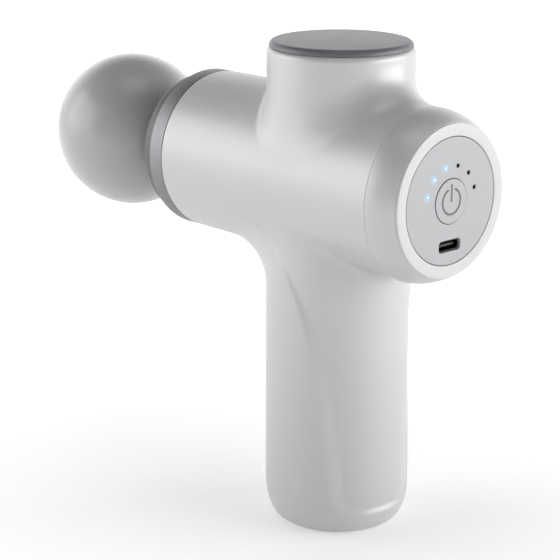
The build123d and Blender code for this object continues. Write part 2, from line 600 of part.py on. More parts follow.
with BuildPart() as panel_bezel:
    # plug in the recess, and a flange that tapers on from the cover
    with BuildSketch(LENGTHWISE):
        with BuildLine():
            Polyline((SEAT_X, BEZEL_IN_R), (SEAT_X, RECESS_R - 0.05), (COVER_END_X, RECESS_R - 0.05))
            Polyline((COVER_END_X, RECESS_R - 0.05), (COVER_END_X, BEZEL_FLANGE_R), (BEZEL_X, BEZEL_FACE_R))
            Polyline((BEZEL_X, BEZEL_FACE_R), (BEZEL_X, BEZEL_IN_R), (SEAT_X, BEZEL_IN_R))
        make_face()
    revolve(axis=BARREL_AXIS)
    fillet(panel_bezel.edges().filter_by(GeomType.CIRCLE).group_by(Axis.X)[-1], radius=0.2)
pieces["panel_bezel"] = panel_bezel

LED_POINTS = [
    (LED_CIRCLE_R * math.cos(math.radians(a)), LED_CIRCLE_R * math.sin(math.radians(a))) for a in LED_ANGLES
]
BOARD_POSTS = [
    (14.8 * math.cos(math.radians(a)), 14.8 * math.sin(math.radians(a))) for a in (35, 145, 215, 325)
]
with BuildPart() as control_panel:
    disc_x(SEAT_X, X_PANEL, PANEL_R)
    fillet(control_panel.edges().filter_by(GeomType.CIRCLE).group_by(Axis.X)[-1], radius=0.2)
    disc_x(SEAT_X, X_PANEL, BUTTON_R + 0.12, mode=Mode.SUBTRACT)
    for point in LED_POINTS:
        disc_x(SEAT_X, X_PANEL, LED_R, point, mode=Mode.SUBTRACT)
    with BuildSketch(across(SEAT_X)):
        with Locations((0, USB_Z)):
            RectangleRounded(*PORT_HOLE, PORT_CORNER_R)
    extrude(amount=X_PANEL - SEAT_X, mode=Mode.SUBTRACT)
    for point in BOARD_POSTS:
        disc_x(BOARD_REAR_X, SEAT_X, 2.0, point)
        disc_x(BOARD_REAR_X, SEAT_X, PILOT_R, point, mode=Mode.SUBTRACT)
pieces["control_panel"] = control_panel

for number, point in enumerate(LED_POINTS, start=1):
    with BuildPart() as led_lens:
        disc_x(BOARD_REAR_X + 1.0, X_PANEL + 0.05, LED_R, point)
    pieces[f"led_lens_{number}"] = led_lens

# ---------------------------------------------------------------- power button
BUTTON_FACE_X = X_PANEL + BUTTON_PROUD
ICON_R = 3.8
ICON_LINE = 0.7
ICON_T = 0.3
FLANGE_T = 0.8
PLUNGER_R = 1.75


def icon_outline():
    """Open ring with an upright bar through its gap."""
    with BuildSketch(across(BUTTON_FACE_X - ICON_T)) as outline:
        Circle(ICON_R + ICON_LINE / 2)
        Circle(ICON_R - ICON_LINE / 2, mode=Mode.SUBTRACT)
        with Locations((0, ICON_R)):
            Rectangle(3.2, 3.0, mode=Mode.SUBTRACT)
        with Locations((0, 2.5)):
            SlotOverall(5.4, ICON_LINE, rotation=90)
    return outline.sketch


with BuildPart() as power_button:
    disc_x(SEAT_X, BUTTON_FACE_X, BUTTON_R)
    fillet(power_button.edges().filter_by(GeomType.CIRCLE).sort_by(Axis.X)[-1], radius=0.3)
    disc_x(SEAT_X - FLANGE_T, SEAT_X, BUTTON_R + 1.2)
    extrude(icon_outline(), amount=ICON_T, mode=Mode.SUBTRACT)
pieces["power_button"] = power_button

with BuildPart() as power_icon:
    extrude(icon_outline(), amount=ICON_T)
pieces["power_icon"] = power_icon

SWITCH_X = (BOARD_REAR_X, BOARD_REAR_X + 2.4)
with BuildPart() as switch_plunger:
    disc_x(SWITCH_X[1] - 0.9, SEAT_X - FLANGE_T, PLUNGER_R)
pieces["switch_plunger"] = switch_plunger

with BuildPart() as tact_switch:
    block(SWITCH_X, (-3, 3), (-3, 3))
    disc_x(SWITCH_X[0] + 0.9, SWITCH_X[1], PLUNGER_R + 0.1, mode=Mode.SUBTRACT)
pieces["tact_switch"] = tact_switch

# ---------------------------------------------------------------- control board and charging port
BOARD_FRONT_X = BOARD_REAR_X - BOARD_T
CONNECTOR_X = 33.0
with BuildPart() as control_board:
    disc_x(BOARD_FRONT_X, BOARD_REAR_X, BOARD_R)
    for point in BOARD_POSTS:
        disc_x(BOARD_FRONT_X, BOARD_REAR_X, CLEAR_R, point, mode=Mode.SUBTRACT)
pieces["control_board"] = control_board

with BuildPart() as board_screws:
    for point in BOARD_POSTS:
        disc_x(BOARD_FRONT_X - SCREW_HEAD_T, BOARD_FRONT_X, SCREW_HEAD_R, point)
        disc_x(BOARD_FRONT_X, SEAT_X - 0.5, SCREW_R, point)
pieces["board_screws"] = board_screws

with BuildPart() as led_chips:
    for y, z in LED_POINTS:
        block((BOARD_REAR_X, BOARD_REAR_X + 0.8), (y - 0.8, y + 0.8), (z - 0.5, z + 0.5))
pieces["led_chips"] = led_chips

with BuildPart() as board_chips:
    block((BOARD_FRONT_X - 1.0, BOARD_FRONT_X), (-3.5, 3.5), (-3.5, 3.5))
    for y in (-10.5, 7.5):
        for z in (-3.2, 1.0):
            block((BOARD_FRONT_X - 1.2, BOARD_FRONT_X), (y, y + 3.2), (z, z + 3.2))
pieces["board_chips"] = board_chips

MOTOR_PLUG_Z, BATTERY_PLUG_Z = 12.0, -14.0
with BuildPart() as board_connectors:
    for z in (MOTOR_PLUG_Z, BATTERY_PLUG_Z):
        block((CONNECTOR_X, BOARD_FRONT_X), (-4.4, 4.4), (z - 2.0, z + 2.0))
pieces["board_connectors"] = board_connectors

PORT_X = (BOARD_REAR_X, X_PANEL - 0.8)
with BuildPart() as usb_shell:
    with BuildSketch(across(PORT_X[0])):
        with Locations((0, USB_Z)):
            SlotOverall(8.94, 3.16)
    extrude(amount=PORT_X[1] - PORT_X[0])
    with BuildSketch(across(PORT_X[0] + 0.5)):
        with Locations((0, USB_Z)):
            SlotOverall(8.34, 2.56)
    extrude(amount=PORT_X[1] - PORT_X[0], mode=Mode.SUBTRACT)
pieces["usb_shell"] = usb_shell

with BuildPart() as usb_tongue:
    block((PORT_X[0] + 0.5, PORT_X[1] - 0.8), (-3.35, 3.35), (USB_Z - 0.35, USB_Z + 0.35))
pieces["usb_tongue"] = usb_tongue

# ---------------------------------------------------------------- battery
HOLDER_W = 19.7
with BuildPart() as battery_foam:
    with BuildSketch(Plane.XY.offset(WALL)):
        Circle(BASE_FLAT_R - WALL - 0.4)
    extrude(amount=CELL_Z - WALL)
pieces["battery_foam"] = battery_foam

CELL_BOTTOM = CELL_Z + 3.0
CELL_TOP = CELL_BOTTOM + CELL_LEN
TAB_T = 0.3


def cell_holder(low, high, pocket_low, pocket_high):
    """End holder for the two cells: a rounded block with a pocket for each."""
    with BuildPart() as holder:
        with BuildSketch(Plane.XY.offset(low)):
            SlotCenterToCenter(CELL_PITCH, HOLDER_W)
        extrude(amount=high - low)
        with BuildSketch(Plane.XY.offset(pocket_low)):
            with GridLocations(CELL_PITCH, 1, 2, 1):
                Circle(CELL_R + 0.05)
            Rectangle(CELL_PITCH, 4)
        extrude(amount=pocket_high - pocket_low, mode=Mode.SUBTRACT)
    return holder


pieces["lower_cell_holder"] = cell_holder(CELL_Z, CELL_Z + 8, CELL_BOTTOM - TAB_T, CELL_Z + 8)
pieces["upper_cell_holder"] = cell_holder(CELL_TOP - 5, CELL_TOP + 3, CELL_TOP - 5, CELL_TOP + TAB_T)

with BuildPart() as battery_cells:
    with BuildSketch(Plane.XY.offset(CELL_BOTTOM)):
        with GridLocations(CELL_PITCH, 1, 2, 1):
            Circle(CELL_R)
    extrude(amount=CELL_LEN)
    fillet(battery_cells.edges().filter_by(GeomType.CIRCLE), radius=0.6)
pieces["battery_cells"] = battery_cells

with BuildPart() as cell_tabs:
    with BuildSketch(Plane.XY.offset(CELL_BOTTOM - TAB_T)):
        Rectangle(CELL_PITCH + 6, 3.8)
    extrude(amount=TAB_T)
    with BuildSketch(Plane.XY.offset(CELL_TOP)):
        with GridLocations(CELL_PITCH, 1, 2, 1):
            Rectangle(8, 3.8)
    extrude(amount=TAB_T)
pieces["cell_tabs"] = cell_tabs

BATTERY_BOARD_Z = CELL_TOP + 3.0
with BuildPart() as battery_board:
    with BuildSketch(Plane.XY.offset(BATTERY_BOARD_Z)):
        SlotCenterToCenter(CELL_PITCH, HOLDER_W - 2)
    extrude(amount=1.0)
    for x in (-8, -3, 2):
        with Locations((x, 0, BATTERY_BOARD_Z + 1.5)):
            Box(3.2, 3.2, 1.0)
pieces["battery_board"] = battery_board

# ---------------------------------------------------------------- leads held inside
with BuildPart() as battery_leads:
    for y in (-1.6, 1.6):
        start_z = BATTERY_BOARD_Z + 1.0
        turn_z = AXIS_H + BATTERY_PLUG_Z
        lead([(12.5, y, start_z), (12.5, y, turn_z), (CONNECTOR_X, y, turn_z)], 0.7, 5.0)
pieces["battery_leads"] = battery_leads

with BuildPart() as motor_leads:
    for y in (-2.4, 0, 2.4):
        high_z = AXIS_H + (PLATE_HIGH + BASE_TOP) / 2
        low_z = AXIS_H + MOTOR_PLUG_Z
        route = [(BASE_R, y, high_z), (LEAD_X, y, high_z), (LEAD_X, y, low_z), (CONNECTOR_X, y, low_z)]
        lead(route, LEAD_R, 2.5)
pieces["motor_leads"] = motor_leads

# ---------------------------------------------------------------- export
os.makedirs("parts", exist_ok=True)
for name, piece in pieces.items():
    piece.part.label = name
    export_step(piece.part, f"parts/{name}.step")
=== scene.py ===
# Looks of the massage gun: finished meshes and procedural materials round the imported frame.
import json
import math

import bmesh
import bpy
import numpy as np
from mathutils import Matrix, Vector


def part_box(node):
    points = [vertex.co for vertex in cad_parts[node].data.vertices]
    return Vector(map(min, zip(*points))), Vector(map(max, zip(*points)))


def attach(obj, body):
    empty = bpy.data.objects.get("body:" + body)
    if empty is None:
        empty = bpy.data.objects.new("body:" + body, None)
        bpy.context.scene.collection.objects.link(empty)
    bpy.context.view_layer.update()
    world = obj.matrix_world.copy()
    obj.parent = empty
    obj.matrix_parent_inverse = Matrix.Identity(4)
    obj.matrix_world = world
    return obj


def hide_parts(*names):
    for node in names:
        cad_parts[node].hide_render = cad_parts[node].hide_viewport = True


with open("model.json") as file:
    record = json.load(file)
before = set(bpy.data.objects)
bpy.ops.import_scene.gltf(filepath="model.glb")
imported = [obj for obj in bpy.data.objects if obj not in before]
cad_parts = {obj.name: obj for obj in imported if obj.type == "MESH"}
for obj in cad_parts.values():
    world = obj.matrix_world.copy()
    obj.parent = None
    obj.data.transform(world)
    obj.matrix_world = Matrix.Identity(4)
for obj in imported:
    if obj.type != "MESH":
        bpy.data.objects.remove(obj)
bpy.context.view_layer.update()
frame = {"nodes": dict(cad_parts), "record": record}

# ---------------------------------------------------------------- sizes, in metres
MM = 0.001
housing_low, housing_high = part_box("main_housing")
ring_low, ring_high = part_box("front_ring")
nose_low, nose_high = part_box("front_nose")
cap_low, cap_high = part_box("top_cap")
cover_low, cover_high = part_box("rear_cover")
bezel_low, bezel_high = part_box("panel_bezel")
panel_low, panel_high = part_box("control_panel")
button_low, button_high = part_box("power_button")
icon_low, icon_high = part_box("power_icon")
port_low, port_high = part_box("usb_shell")
ball_low, ball_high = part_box("ball_foam")
stem_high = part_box("head_stem")[1]
rod_low, rod_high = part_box("piston_rod")
seal_low, seal_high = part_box("wiper_seal")
lens_boxes = [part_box(f"led_lens_{number}") for number in range(1, 7)]

AXIS_Z = (ring_low.z + ring_high.z) / 2          # height of the barrel's axis
X_FRONT, X_SEAM = housing_low.x, housing_high.x
RIM_Z = housing_high.z
FRONT_R = (ring_high.y - ring_low.y) / 2
REAR_R = (cover_high.y - cover_low.y) / 2
CAP_R = (cap_high.y - cap_low.y) / 2
CAP_INSET = 0.65 * MM           # the cap is this much smaller than the boss that it closes
HANDLE_R = CAP_R + CAP_INSET
NOSE_R = (nose_high.y - nose_low.y) / 2
BALL_R = (ball_high.y - ball_low.y) / 2
BALL_X = ball_low.x + BALL_R
BEZEL_R = (bezel_high.y - bezel_low.y) / 2
PANEL_R = (panel_high.y - panel_low.y) / 2
BUTTON_FLANGE = 1.2 * MM        # hidden behind the panel
BUTTON_R = (button_high.y - button_low.y) / 2 - BUTTON_FLANGE
ROD_R = 7.0 * MM
WALL = 2.2 * MM
BORE_R = 23.2 * MM
HANDLE_BORE_R = 20.2 * MM
BUSH_HOLE_R = 9.1 * MM


# ---------------------------------------------------------------- node helpers
def new_material(name):
    """A node material with its tree and its Principled shader."""
    material = bpy.data.materials.new(name)
    material.use_nodes = True
    tree = material.node_tree
    return material, tree, tree.nodes["Principled BSDF"]


def own_space(tree):
    """Coordinates fixed to the piece, in metres."""
    return tree.nodes.new("ShaderNodeTexCoord").outputs["Object"]


def stretched(tree, space, scale):
    """Coordinates multiplied along each axis, to draw a texture out into lines."""
    node = tree.nodes.new("ShaderNodeMapping")
    node.inputs["Scale"].default_value = scale
    tree.links.new(space, node.inputs["Vector"])
    return node.outputs["Vector"]


def noise(tree, space, scale, detail=3.0, roughness=0.5):
    node = tree.nodes.new("ShaderNodeTexNoise")
    node.inputs["Scale"].default_value = scale
    node.inputs["Detail"].default_value = detail
    node.inputs["Roughness"].default_value = roughness
    tree.links.new(space, node.inputs["Vector"])
    return node.outputs["Fac"]


def waves(tree, space, scale, direction, distortion=0.0):
    node = tree.nodes.new("ShaderNodeTexWave")
    node.bands_direction = direction
    node.inputs["Scale"].default_value = scale
    node.inputs["Distortion"].default_value = distortion
    tree.links.new(space, node.inputs["Vector"])
    return node.outputs["Fac"]


def cells(tree, space, scale, feature="F1"):
    node = tree.nodes.new("ShaderNodeTexVoronoi")
    node.feature = feature
    node.inputs["Scale"].default_value = scale
    tree.links.new(space, node.inputs["Vector"])
    return node.outputs["Distance"]


def spread(tree, value, low, high, start=0.0, end=1.0):
    """Maps start to end onto low to high."""
    node = tree.nodes.new("ShaderNodeMapRange")
    for label, number in (("From Min", start), ("From Max", end), ("To Min", low), ("To Max", high)):
        node.inputs[label].default_value = number
    tree.links.new(value, node.inputs["Value"])
    return node.outputs["Result"]


def compute(tree, operation, first, second):
    """One arithmetic node; either side is a socket or a number."""
    node = tree.nodes.new("ShaderNodeMath")
    node.operation = operation
    for socket, value in zip(node.inputs, (first, second)):
        if isinstance(value, (int, float)):
            socket.default_value = value
        else:
            tree.links.new(value, socket)
    return node.outputs["Value"]


def blend_colours(tree, factor, first, second):
    node = tree.nodes.new("ShaderNodeMix")
    node.data_type = "RGBA"
    colours = [socket for socket in node.inputs if socket.type == "RGBA"]
    colours[0].default_value = (*first, 1)
    colours[1].default_value = (*second, 1)
    tree.links.new(factor, node.inputs["Factor"])
    return next(socket for socket in node.outputs if socket.type == "RGBA")


def relief(tree, shader, height, distance, strength=0.3):
    node = tree.nodes.new("ShaderNodeBump")
    node.inputs["Strength"].default_value = strength
    node.inputs["Distance"].default_value = distance
    tree.links.new(height, node.inputs["Height"])
    tree.links.new(node.outputs["Normal"], shader.inputs["Normal"])


def shades(colour, shift):
    """A colour a little darker and a little lighter."""
    return tuple(c * (1 - shift) for c in colour), tuple(min(1.0, c * (1 + shift)) for c in colour)


def moulded(name, colour, rough, grain=2600, grain_depth=0.012, metallic=0.0, coat=0.0, shift=0.02):
    """Moulded or painted plastic: slow drift of tone, fine grain and a roughness that wanders a little."""
    material, tree, shader = new_material(name)
    space = own_space(tree)
    drift = noise(tree, space, 45, 2)
    tree.links.new(blend_colours(tree, drift, *shades(colour, shift)), shader.inputs["Base Color"])
    patches = noise(tree, space, 260, 4)
    tree.links.new(spread(tree, patches, rough * 0.9, rough * 1.1), shader.inputs["Roughness"])
    relief(tree, shader, noise(tree, space, grain, 2), grain_depth * MM)
    shader.inputs["Metallic"].default_value = metallic
    shader.inputs["Coat Weight"].default_value = coat
    shader.inputs["Coat Roughness"].default_value = 0.2
    return material


def machined(name, colour, rough, along="X", shift=0.08):
    """Turned or ground metal: fine tool lines round the given axis over a faintly mottled tone."""
    material, tree, shader = new_material(name)
    space = own_space(tree)
    lines_scale = [120, 120, 120]
    lines_scale["XYZ".index(along)] = 9000
    lines = noise(tree, stretched(tree, space, lines_scale), 1, 2)
    tone = noise(tree, space, 300, 3)
    tree.links.new(blend_colours(tree, tone, *shades(colour, shift)), shader.inputs["Base Color"])
    tree.links.new(spread(tree, lines, rough * 0.8, rough * 1.25), shader.inputs["Roughness"])
    relief(tree, shader, lines, 0.006 * MM, 0.35)
    shader.inputs["Metallic"].default_value = 1.0
    return material


def wound(name, colour):
    """Enamelled copper wire: bands of turns with painted shade in the darker gaps between them."""
    material, tree, shader = new_material(name)
    space = own_space(tree)
    turns = waves(tree, space, 900, "Z", 0.4)
    # painted shade: the grooves between the turns drawn at a third of the copper's colour
    gap_shade = tuple(c * 0.35 for c in colour)
    tree.links.new(blend_colours(tree, turns, gap_shade, colour), shader.inputs["Base Color"])
    tree.links.new(spread(tree, noise(tree, space, 700), 0.25, 0.4), shader.inputs["Roughness"])
    relief(tree, shader, turns, 0.15 * MM, 0.8)
    shader.inputs["Metallic"].default_value = 0.85
    return material


def laminated(name, colour):
    """Stack of thin steel sheets seen on its edge."""
    material, tree, shader = new_material(name)
    space = own_space(tree)
    sheets = waves(tree, space, 1000, "Z", 0.1)
    tree.links.new(blend_colours(tree, sheets, *shades(colour, 0.3)), shader.inputs["Base Color"])
    tree.links.new(spread(tree, noise(tree, space, 900), 0.35, 0.55), shader.inputs["Roughness"])
    relief(tree, shader, sheets, 0.05 * MM, 0.6)
    shader.inputs["Metallic"].default_value = 0.8
    return material


def circuit(name, colour):
    """Solder mask with copper tracks showing faintly through it."""
    material, tree, shader = new_material(name)
    space = own_space(tree)
    tracks = spread(tree, cells(tree, space, 420, "DISTANCE_TO_EDGE"), 1, 0, 0.02, 0.09)
    light = tuple(min(1.0, c * 2.2 + 0.02) for c in colour)
    tree.links.new(blend_colours(tree, tracks, colour, light), shader.inputs["Base Color"])
    tree.links.new(spread(tree, noise(tree, space, 600), 0.28, 0.4), shader.inputs["Roughness"])
    relief(tree, shader, tracks, 0.03 * MM, 0.5)
    return material


def cellular(name, colour, scale, depth, rough=0.85):
    """Foam with small open cells, each pore drawn darker towards its middle as painted shade."""
    material, tree, shader = new_material(name)
    space = own_space(tree)
    pores = cells(tree, space, scale)
    # painted shade: colour darker near each cell's centre, in the hollow of the pore
    tree.links.new(blend_colours(tree, pores, *shades(colour, 0.35)), shader.inputs["Base Color"])
    tree.links.new(spread(tree, pores, rough * 0.85, rough), shader.inputs["Roughness"])
    relief(tree, shader, pores, depth * MM, 0.7)
    return material


# ---------------------------------------------------------------- mesh helpers
MERGE_DISTANCE = 1e-7
SLIVER = 1e-8
IN_PLANE = 1e-6
PLATE_SHARP = 10                # degrees: keeps a flat face free of the shading of its rounded edge


def add_piece(name, mesh, material, body, slot, *replaced, sharp=32):
    """Links a finished mesh as a piece that rides on a body."""
    piece = bpy.data.objects.new(name, mesh)
    bpy.context.scene.collection.objects.link(piece)
    mesh.materials.clear()
    mesh.materials.append(material)
    mesh.shade_smooth()
    mesh.set_sharp_from_angle(angle=math.radians(sharp))
    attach(piece, body)
    if replaced:
        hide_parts(*replaced)
    return piece


def rounded_outline(corners, steps=6):
    """Closed outline from (along, radius, rounding) corners, with an arc where the rounding isn't 0."""
    outline = []
    count = len(corners)
    for i, (along, radius, rounding) in enumerate(corners):
        here = Vector((along, radius))
        if rounding == 0:
            outline.append(here)
            continue
        before = (Vector(corners[i - 1][:2]) - here).normalized()
        after = (Vector(corners[(i + 1) % count][:2]) - here).normalized()
        half = before.angle(after) / 2
        centre = here + (before + after).normalized() * rounding / math.sin(half)
        first = (here + before * rounding / math.tan(half) - centre).normalized()
        last = (here + after * rounding / math.tan(half) - centre).normalized()
        turn = first.angle(last)
        for k in range(steps + 1):
            share = k / steps
            blend = first * math.sin((1 - share) * turn) + last * math.sin(share * turn)
            outline.append(centre + blend * rounding / math.sin(turn))
    return outline


def turned(name, outline, material, body, slot, *replaced, segments, upright=False, centre=(0, 0)):
    """Solid of revolution about the barrel's axis or the handle's. The outline is (along, radius) pairs."""
    mesh = bpy.data.meshes.new(name)
    shape = bmesh.new()
    rings = []
    for k in range(segments):
        angle = 2 * math.pi * k / segments
        side, up = math.cos(angle), math.sin(angle)
        ring = []
        for along, radius in outline:
            if upright:
                place = (radius * side, radius * up, along)
            else:
                place = (along, centre[0] + radius * side, AXIS_Z + centre[1] + radius * up)
            ring.append(shape.verts.new(place))
        rings.append(ring)
    count = len(outline)
    for k in range(segments):
        here, there = rings[k], rings[(k + 1) % segments]
        for i in range(count):
            j = (i + 1) % count
            if outline[i][1] == 0 and outline[j][1] == 0:
                continue
            shape.faces.new((here[i], here[j], there[j], there[i]))
    bmesh.ops.remove_doubles(shape, verts=shape.verts, dist=MERGE_DISTANCE)
    bmesh.ops.dissolve_degenerate(shape, edges=shape.edges, dist=SLIVER)
    bmesh.ops.recalc_face_normals(shape, faces=shape.faces)
    shape.to_mesh(mesh)
    shape.free()
    return add_piece(name, mesh, material, body, slot, *replaced)


def circle_points(radius, centre=(0, 0), count=96):
    angles = [2 * math.pi * k / count for k in range(count)]
    return [(centre[0] + radius * math.cos(a), centre[1] + radius * math.sin(a)) for a in angles]


def arc_points(radius, start, end, centre, count=12):
    """Points of an arc between two angles in degrees, both ends included."""
    angles = [math.radians(start + (end - start) * k / count) for k in range(count + 1)]
    return [(centre[0] + radius * math.cos(a), centre[1] + radius * math.sin(a)) for a in angles]


def slot_points(width, height, radius, centre):
    """Outline of a rectangle with rounded corners."""
    points = []
    for quarter, (side, up) in enumerate(((1, 1), (-1, 1), (-1, -1), (1, -1))):
        corner = (centre[0] + side * (width / 2 - radius), centre[1] + up * (height / 2 - radius))
        points += arc_points(radius, 90 * quarter, 90 * quarter + 90, corner)
    return points


def plate(name, outlines, x_low, x_high, edge, material, body, slot, *replaced):
    """Flat plate across the barrel with rounded edges: the first outline is its rim, the rest are holes."""
    curve = bpy.data.curves.new(name, "CURVE")
    curve.dimensions = "2D"
    curve.fill_mode = "BOTH"
    curve.extrude = (x_high - x_low) / 2 - edge
    curve.bevel_depth = edge
    curve.bevel_resolution = 3
    curve.offset = -edge
    for outline in outlines:
        spline = curve.splines.new("POLY")
        spline.points.add(len(outline) - 1)
        spline.points.foreach_set("co", [v for y, z in outline for v in (y, z, 0, 1)])
        spline.use_cyclic_u = True
    flat = bpy.data.objects.new(name + "_outline", curve)
    bpy.context.scene.collection.objects.link(flat)
    bpy.context.view_layer.update()
    mesh = bpy.data.meshes.new_from_object(flat)
    mesh.name = name
    bpy.data.objects.remove(flat)
    bpy.data.curves.remove(curve)
    # curve x and y become the object's Y and Z, and the thickness runs along X
    mesh.transform(Matrix(((0, 0, 1, (x_low + x_high) / 2), (1, 0, 0, 0), (0, 1, 0, AXIS_Z), (0, 0, 0, 1))))
    shape = bmesh.new()
    shape.from_mesh(mesh)
    bmesh.ops.remove_doubles(shape, verts=shape.verts, dist=MERGE_DISTANCE)
    bmesh.ops.recalc_face_normals(shape, faces=shape.faces)
    shape.to_mesh(mesh)
    shape.free()
    return add_piece(name, mesh, material, body, slot, *replaced, sharp=PLATE_SHARP)


# ---------------------------------------------------------------- main housing
# The outside of barrel, handle and boss is one distance field in millimetres, meshed with even quads.
CELL, LINING_CELL = 0.8, 1.6
SKIN_ROUNDS, LINING_ROUNDS = 4, 2
MARGIN_CELLS = 5
RELAXATION = 0.5
PROJECTIONS = 2                 # steps back onto the surface in each round
SEAM_EDGE = 0.12 * MM
FRONT_EDGE = 0.4 * MM
RIM_ROUND = 1.9 * MM
FRONT_WALL = 2.6 * MM
FOOT_FLAT_R, FOOT_EDGE_H = 17.4, 13.0
THROAT_R, REAR_CORNER_R = 18.0, 3.0
BOSS_FRONT_R, BOSS_SIDE_R, BOSS_REAR_R = 3.5, 22.0, 11.0
STEP_DEPTH, STEP_WIDTH = 1.1, 2.6
THROAT_STEP_DEPTH, THROAT_STEP_WIDTH = 0.5, 1.5
REAR_SWELL = 0.5                # how far the rear of the handle stands out before the step is cut
STEP_FOOT_Z = -101.7            # middle of the band round the rear of the foot, below the axis
STEP_CORNER_R = 5.0
STEP_SAMPLES = 80
STEP_SOFTNESS = 0.6
# the rest of these are spans over which one value changes into another: heights from the axis, or x
STEP_FADE = (-18, -9)
STEP_NARROWS = (-44, -30)
SWELL_X, SWELL_FADE = (0, 16), (-30, -10)
LOWER_CORNER_X = (-6, 16)
BOSS_FRONT_X, BOSS_REAR_X = (-21, -6), (2, 20)
LOWER_TO_UPPER = (-12, 8)
COSINE_LIMIT = 0.995            # keeps the rolling ball's formula finite where the surfaces are parallel
# side view of the step, from the belly of the barrel down the handle: the four points of one Bezier curve
STEP_CURVE = ((-24.0, -9.0), (5.0, -23.0), (12.5, -38.0), (15.8, -100.0))
axis_mm, front_mm, seam_mm, rim_mm = AXIS_Z / MM, X_FRONT / MM, X_SEAM / MM, RIM_Z / MM
front_r_mm, rear_r_mm, handle_r_mm = FRONT_R / MM, REAR_R / MM, HANDLE_R / MM


def smooth_between(low, high, value):
    t = np.clip((value - low) / (high - low), 0, 1)
    return t * t * (3 - 2 * t)


def step_line():
    """Samples of the step's Bezier curve as x, height and slope, from low to high."""
    t = np.linspace(1, 0, STEP_SAMPLES)[:, None]
    a, b, c, d = (np.array(p) for p in STEP_CURVE)
    points = (1 - t) ** 3 * a + 3 * (1 - t) ** 2 * t * b + 3 * (1 - t) * t ** 2 * c + t ** 3 * d
    return points[:, 0], points[:, 1], np.gradient(points[:, 0], points[:, 1])


STEP_X, STEP_Z, STEP_LEAN = step_line()


def step_depth(x, rise):
    """How far the rear of the handle lies below its front and foot."""
    lean = np.interp(rise, STEP_Z, STEP_LEAN)
    behind = (x - np.interp(rise, STEP_Z, STEP_X)) / np.sqrt(1 + lean ** 2)
    above = rise - STEP_FOOT_Z
    inside = np.maximum(np.minimum(behind, above), STEP_CORNER_R)
    inside -= np.hypot(np.maximum(STEP_CORNER_R - behind, 0), np.maximum(STEP_CORNER_R - above, 0))
    in_throat = smooth_between(*STEP_NARROWS, rise)
    width = STEP_WIDTH + (THROAT_STEP_WIDTH - STEP_WIDTH) * in_throat
    depth = STEP_DEPTH + (THROAT_STEP_DEPTH - STEP_DEPTH) * in_throat
    edge = smooth_between(-STEP_SOFTNESS, STEP_SOFTNESS, inside / width)
    return depth * edge * (1 - smooth_between(*STEP_FADE, rise))


def footed_column(column_rho, z, radius, flat_r, edge_h, floor_z):
    """Upright cylinder whose lower end rounds off through a quarter ellipse to a flat."""
    edge = radius - flat_r
    foot = np.hypot(np.maximum(column_rho - flat_r, 0) / edge, np.maximum(edge_h - z, 0) / (edge_h - floor_z))
    return np.where(z < edge_h, (foot - 1) * edge, column_rho - radius)


def skin(points):
    """Distance in mm from the outside of barrel, handle and boss, negative inside."""
    x, y, z = points[..., 0], points[..., 1], points[..., 2]
    rise = z - axis_mm
    barrel_rho = np.sqrt(y * y + rise * rise) + 1e-9
    column_rho = np.sqrt(x * x + y * y) + 1e-9
    barrel = barrel_rho - (front_r_mm + (rear_r_mm - front_r_mm) * (x - front_mm) / (seam_mm - front_mm))
    swell = REAR_SWELL * smooth_between(*SWELL_X, x) * (1 - smooth_between(*SWELL_FADE, rise))
    column = footed_column(column_rho - swell, z, handle_r_mm, FOOT_FLAT_R, FOOT_EDGE_H, 0)
    # a ball of this radius rolls round the corner between the two; it differs at throat, rear and boss
    low_r = THROAT_R + (REAR_CORNER_R - THROAT_R) * smooth_between(*LOWER_CORNER_X, x)
    high_r = BOSS_FRONT_R + (BOSS_SIDE_R - BOSS_FRONT_R) * smooth_between(*BOSS_FRONT_X, x)
    high_r = high_r + (BOSS_REAR_R - BOSS_SIDE_R) * smooth_between(*BOSS_REAR_X, x)
    radius = low_r + (high_r - low_r) * smooth_between(*LOWER_TO_UPPER, rise)
    cosine = np.clip(y * y / (barrel_rho * column_rho), 0, COSINE_LIMIT)
    to_barrel, to_column = radius - barrel, radius - column
    reach = (to_barrel ** 2 + to_column ** 2 - 2 * cosine * to_barrel * to_column) / (1 - cosine ** 2)
    near = (to_barrel > 0) & (to_column > 0)
    corner = near & (to_barrel > cosine * to_column) & (to_column > cosine * to_barrel)
    joined = np.where(corner, radius - np.sqrt(np.maximum(reach, 0)), np.minimum(barrel, column))
    return joined + step_depth(x, rise)


def lining(points):
    """Distance in mm from the inside of barrel, handle and boss."""
    x, y, z = points[..., 0], points[..., 1], points[..., 2]
    barrel = np.sqrt(y * y + (z - axis_mm) ** 2) - BORE_R / MM
    wall = WALL / MM
    column = footed_column(
        np.sqrt(x * x + y * y) + 1e-9, z, HANDLE_BORE_R / MM, FOOT_FLAT_R - wall, FOOT_EDGE_H, wall
    )
    return np.minimum(barrel, column)


def slope_of(field, points, h=0.02):
    axes = np.eye(3) * h
    return np.stack([(field(points + a) - field(points - a)) / (2 * h) for a in axes], -1)


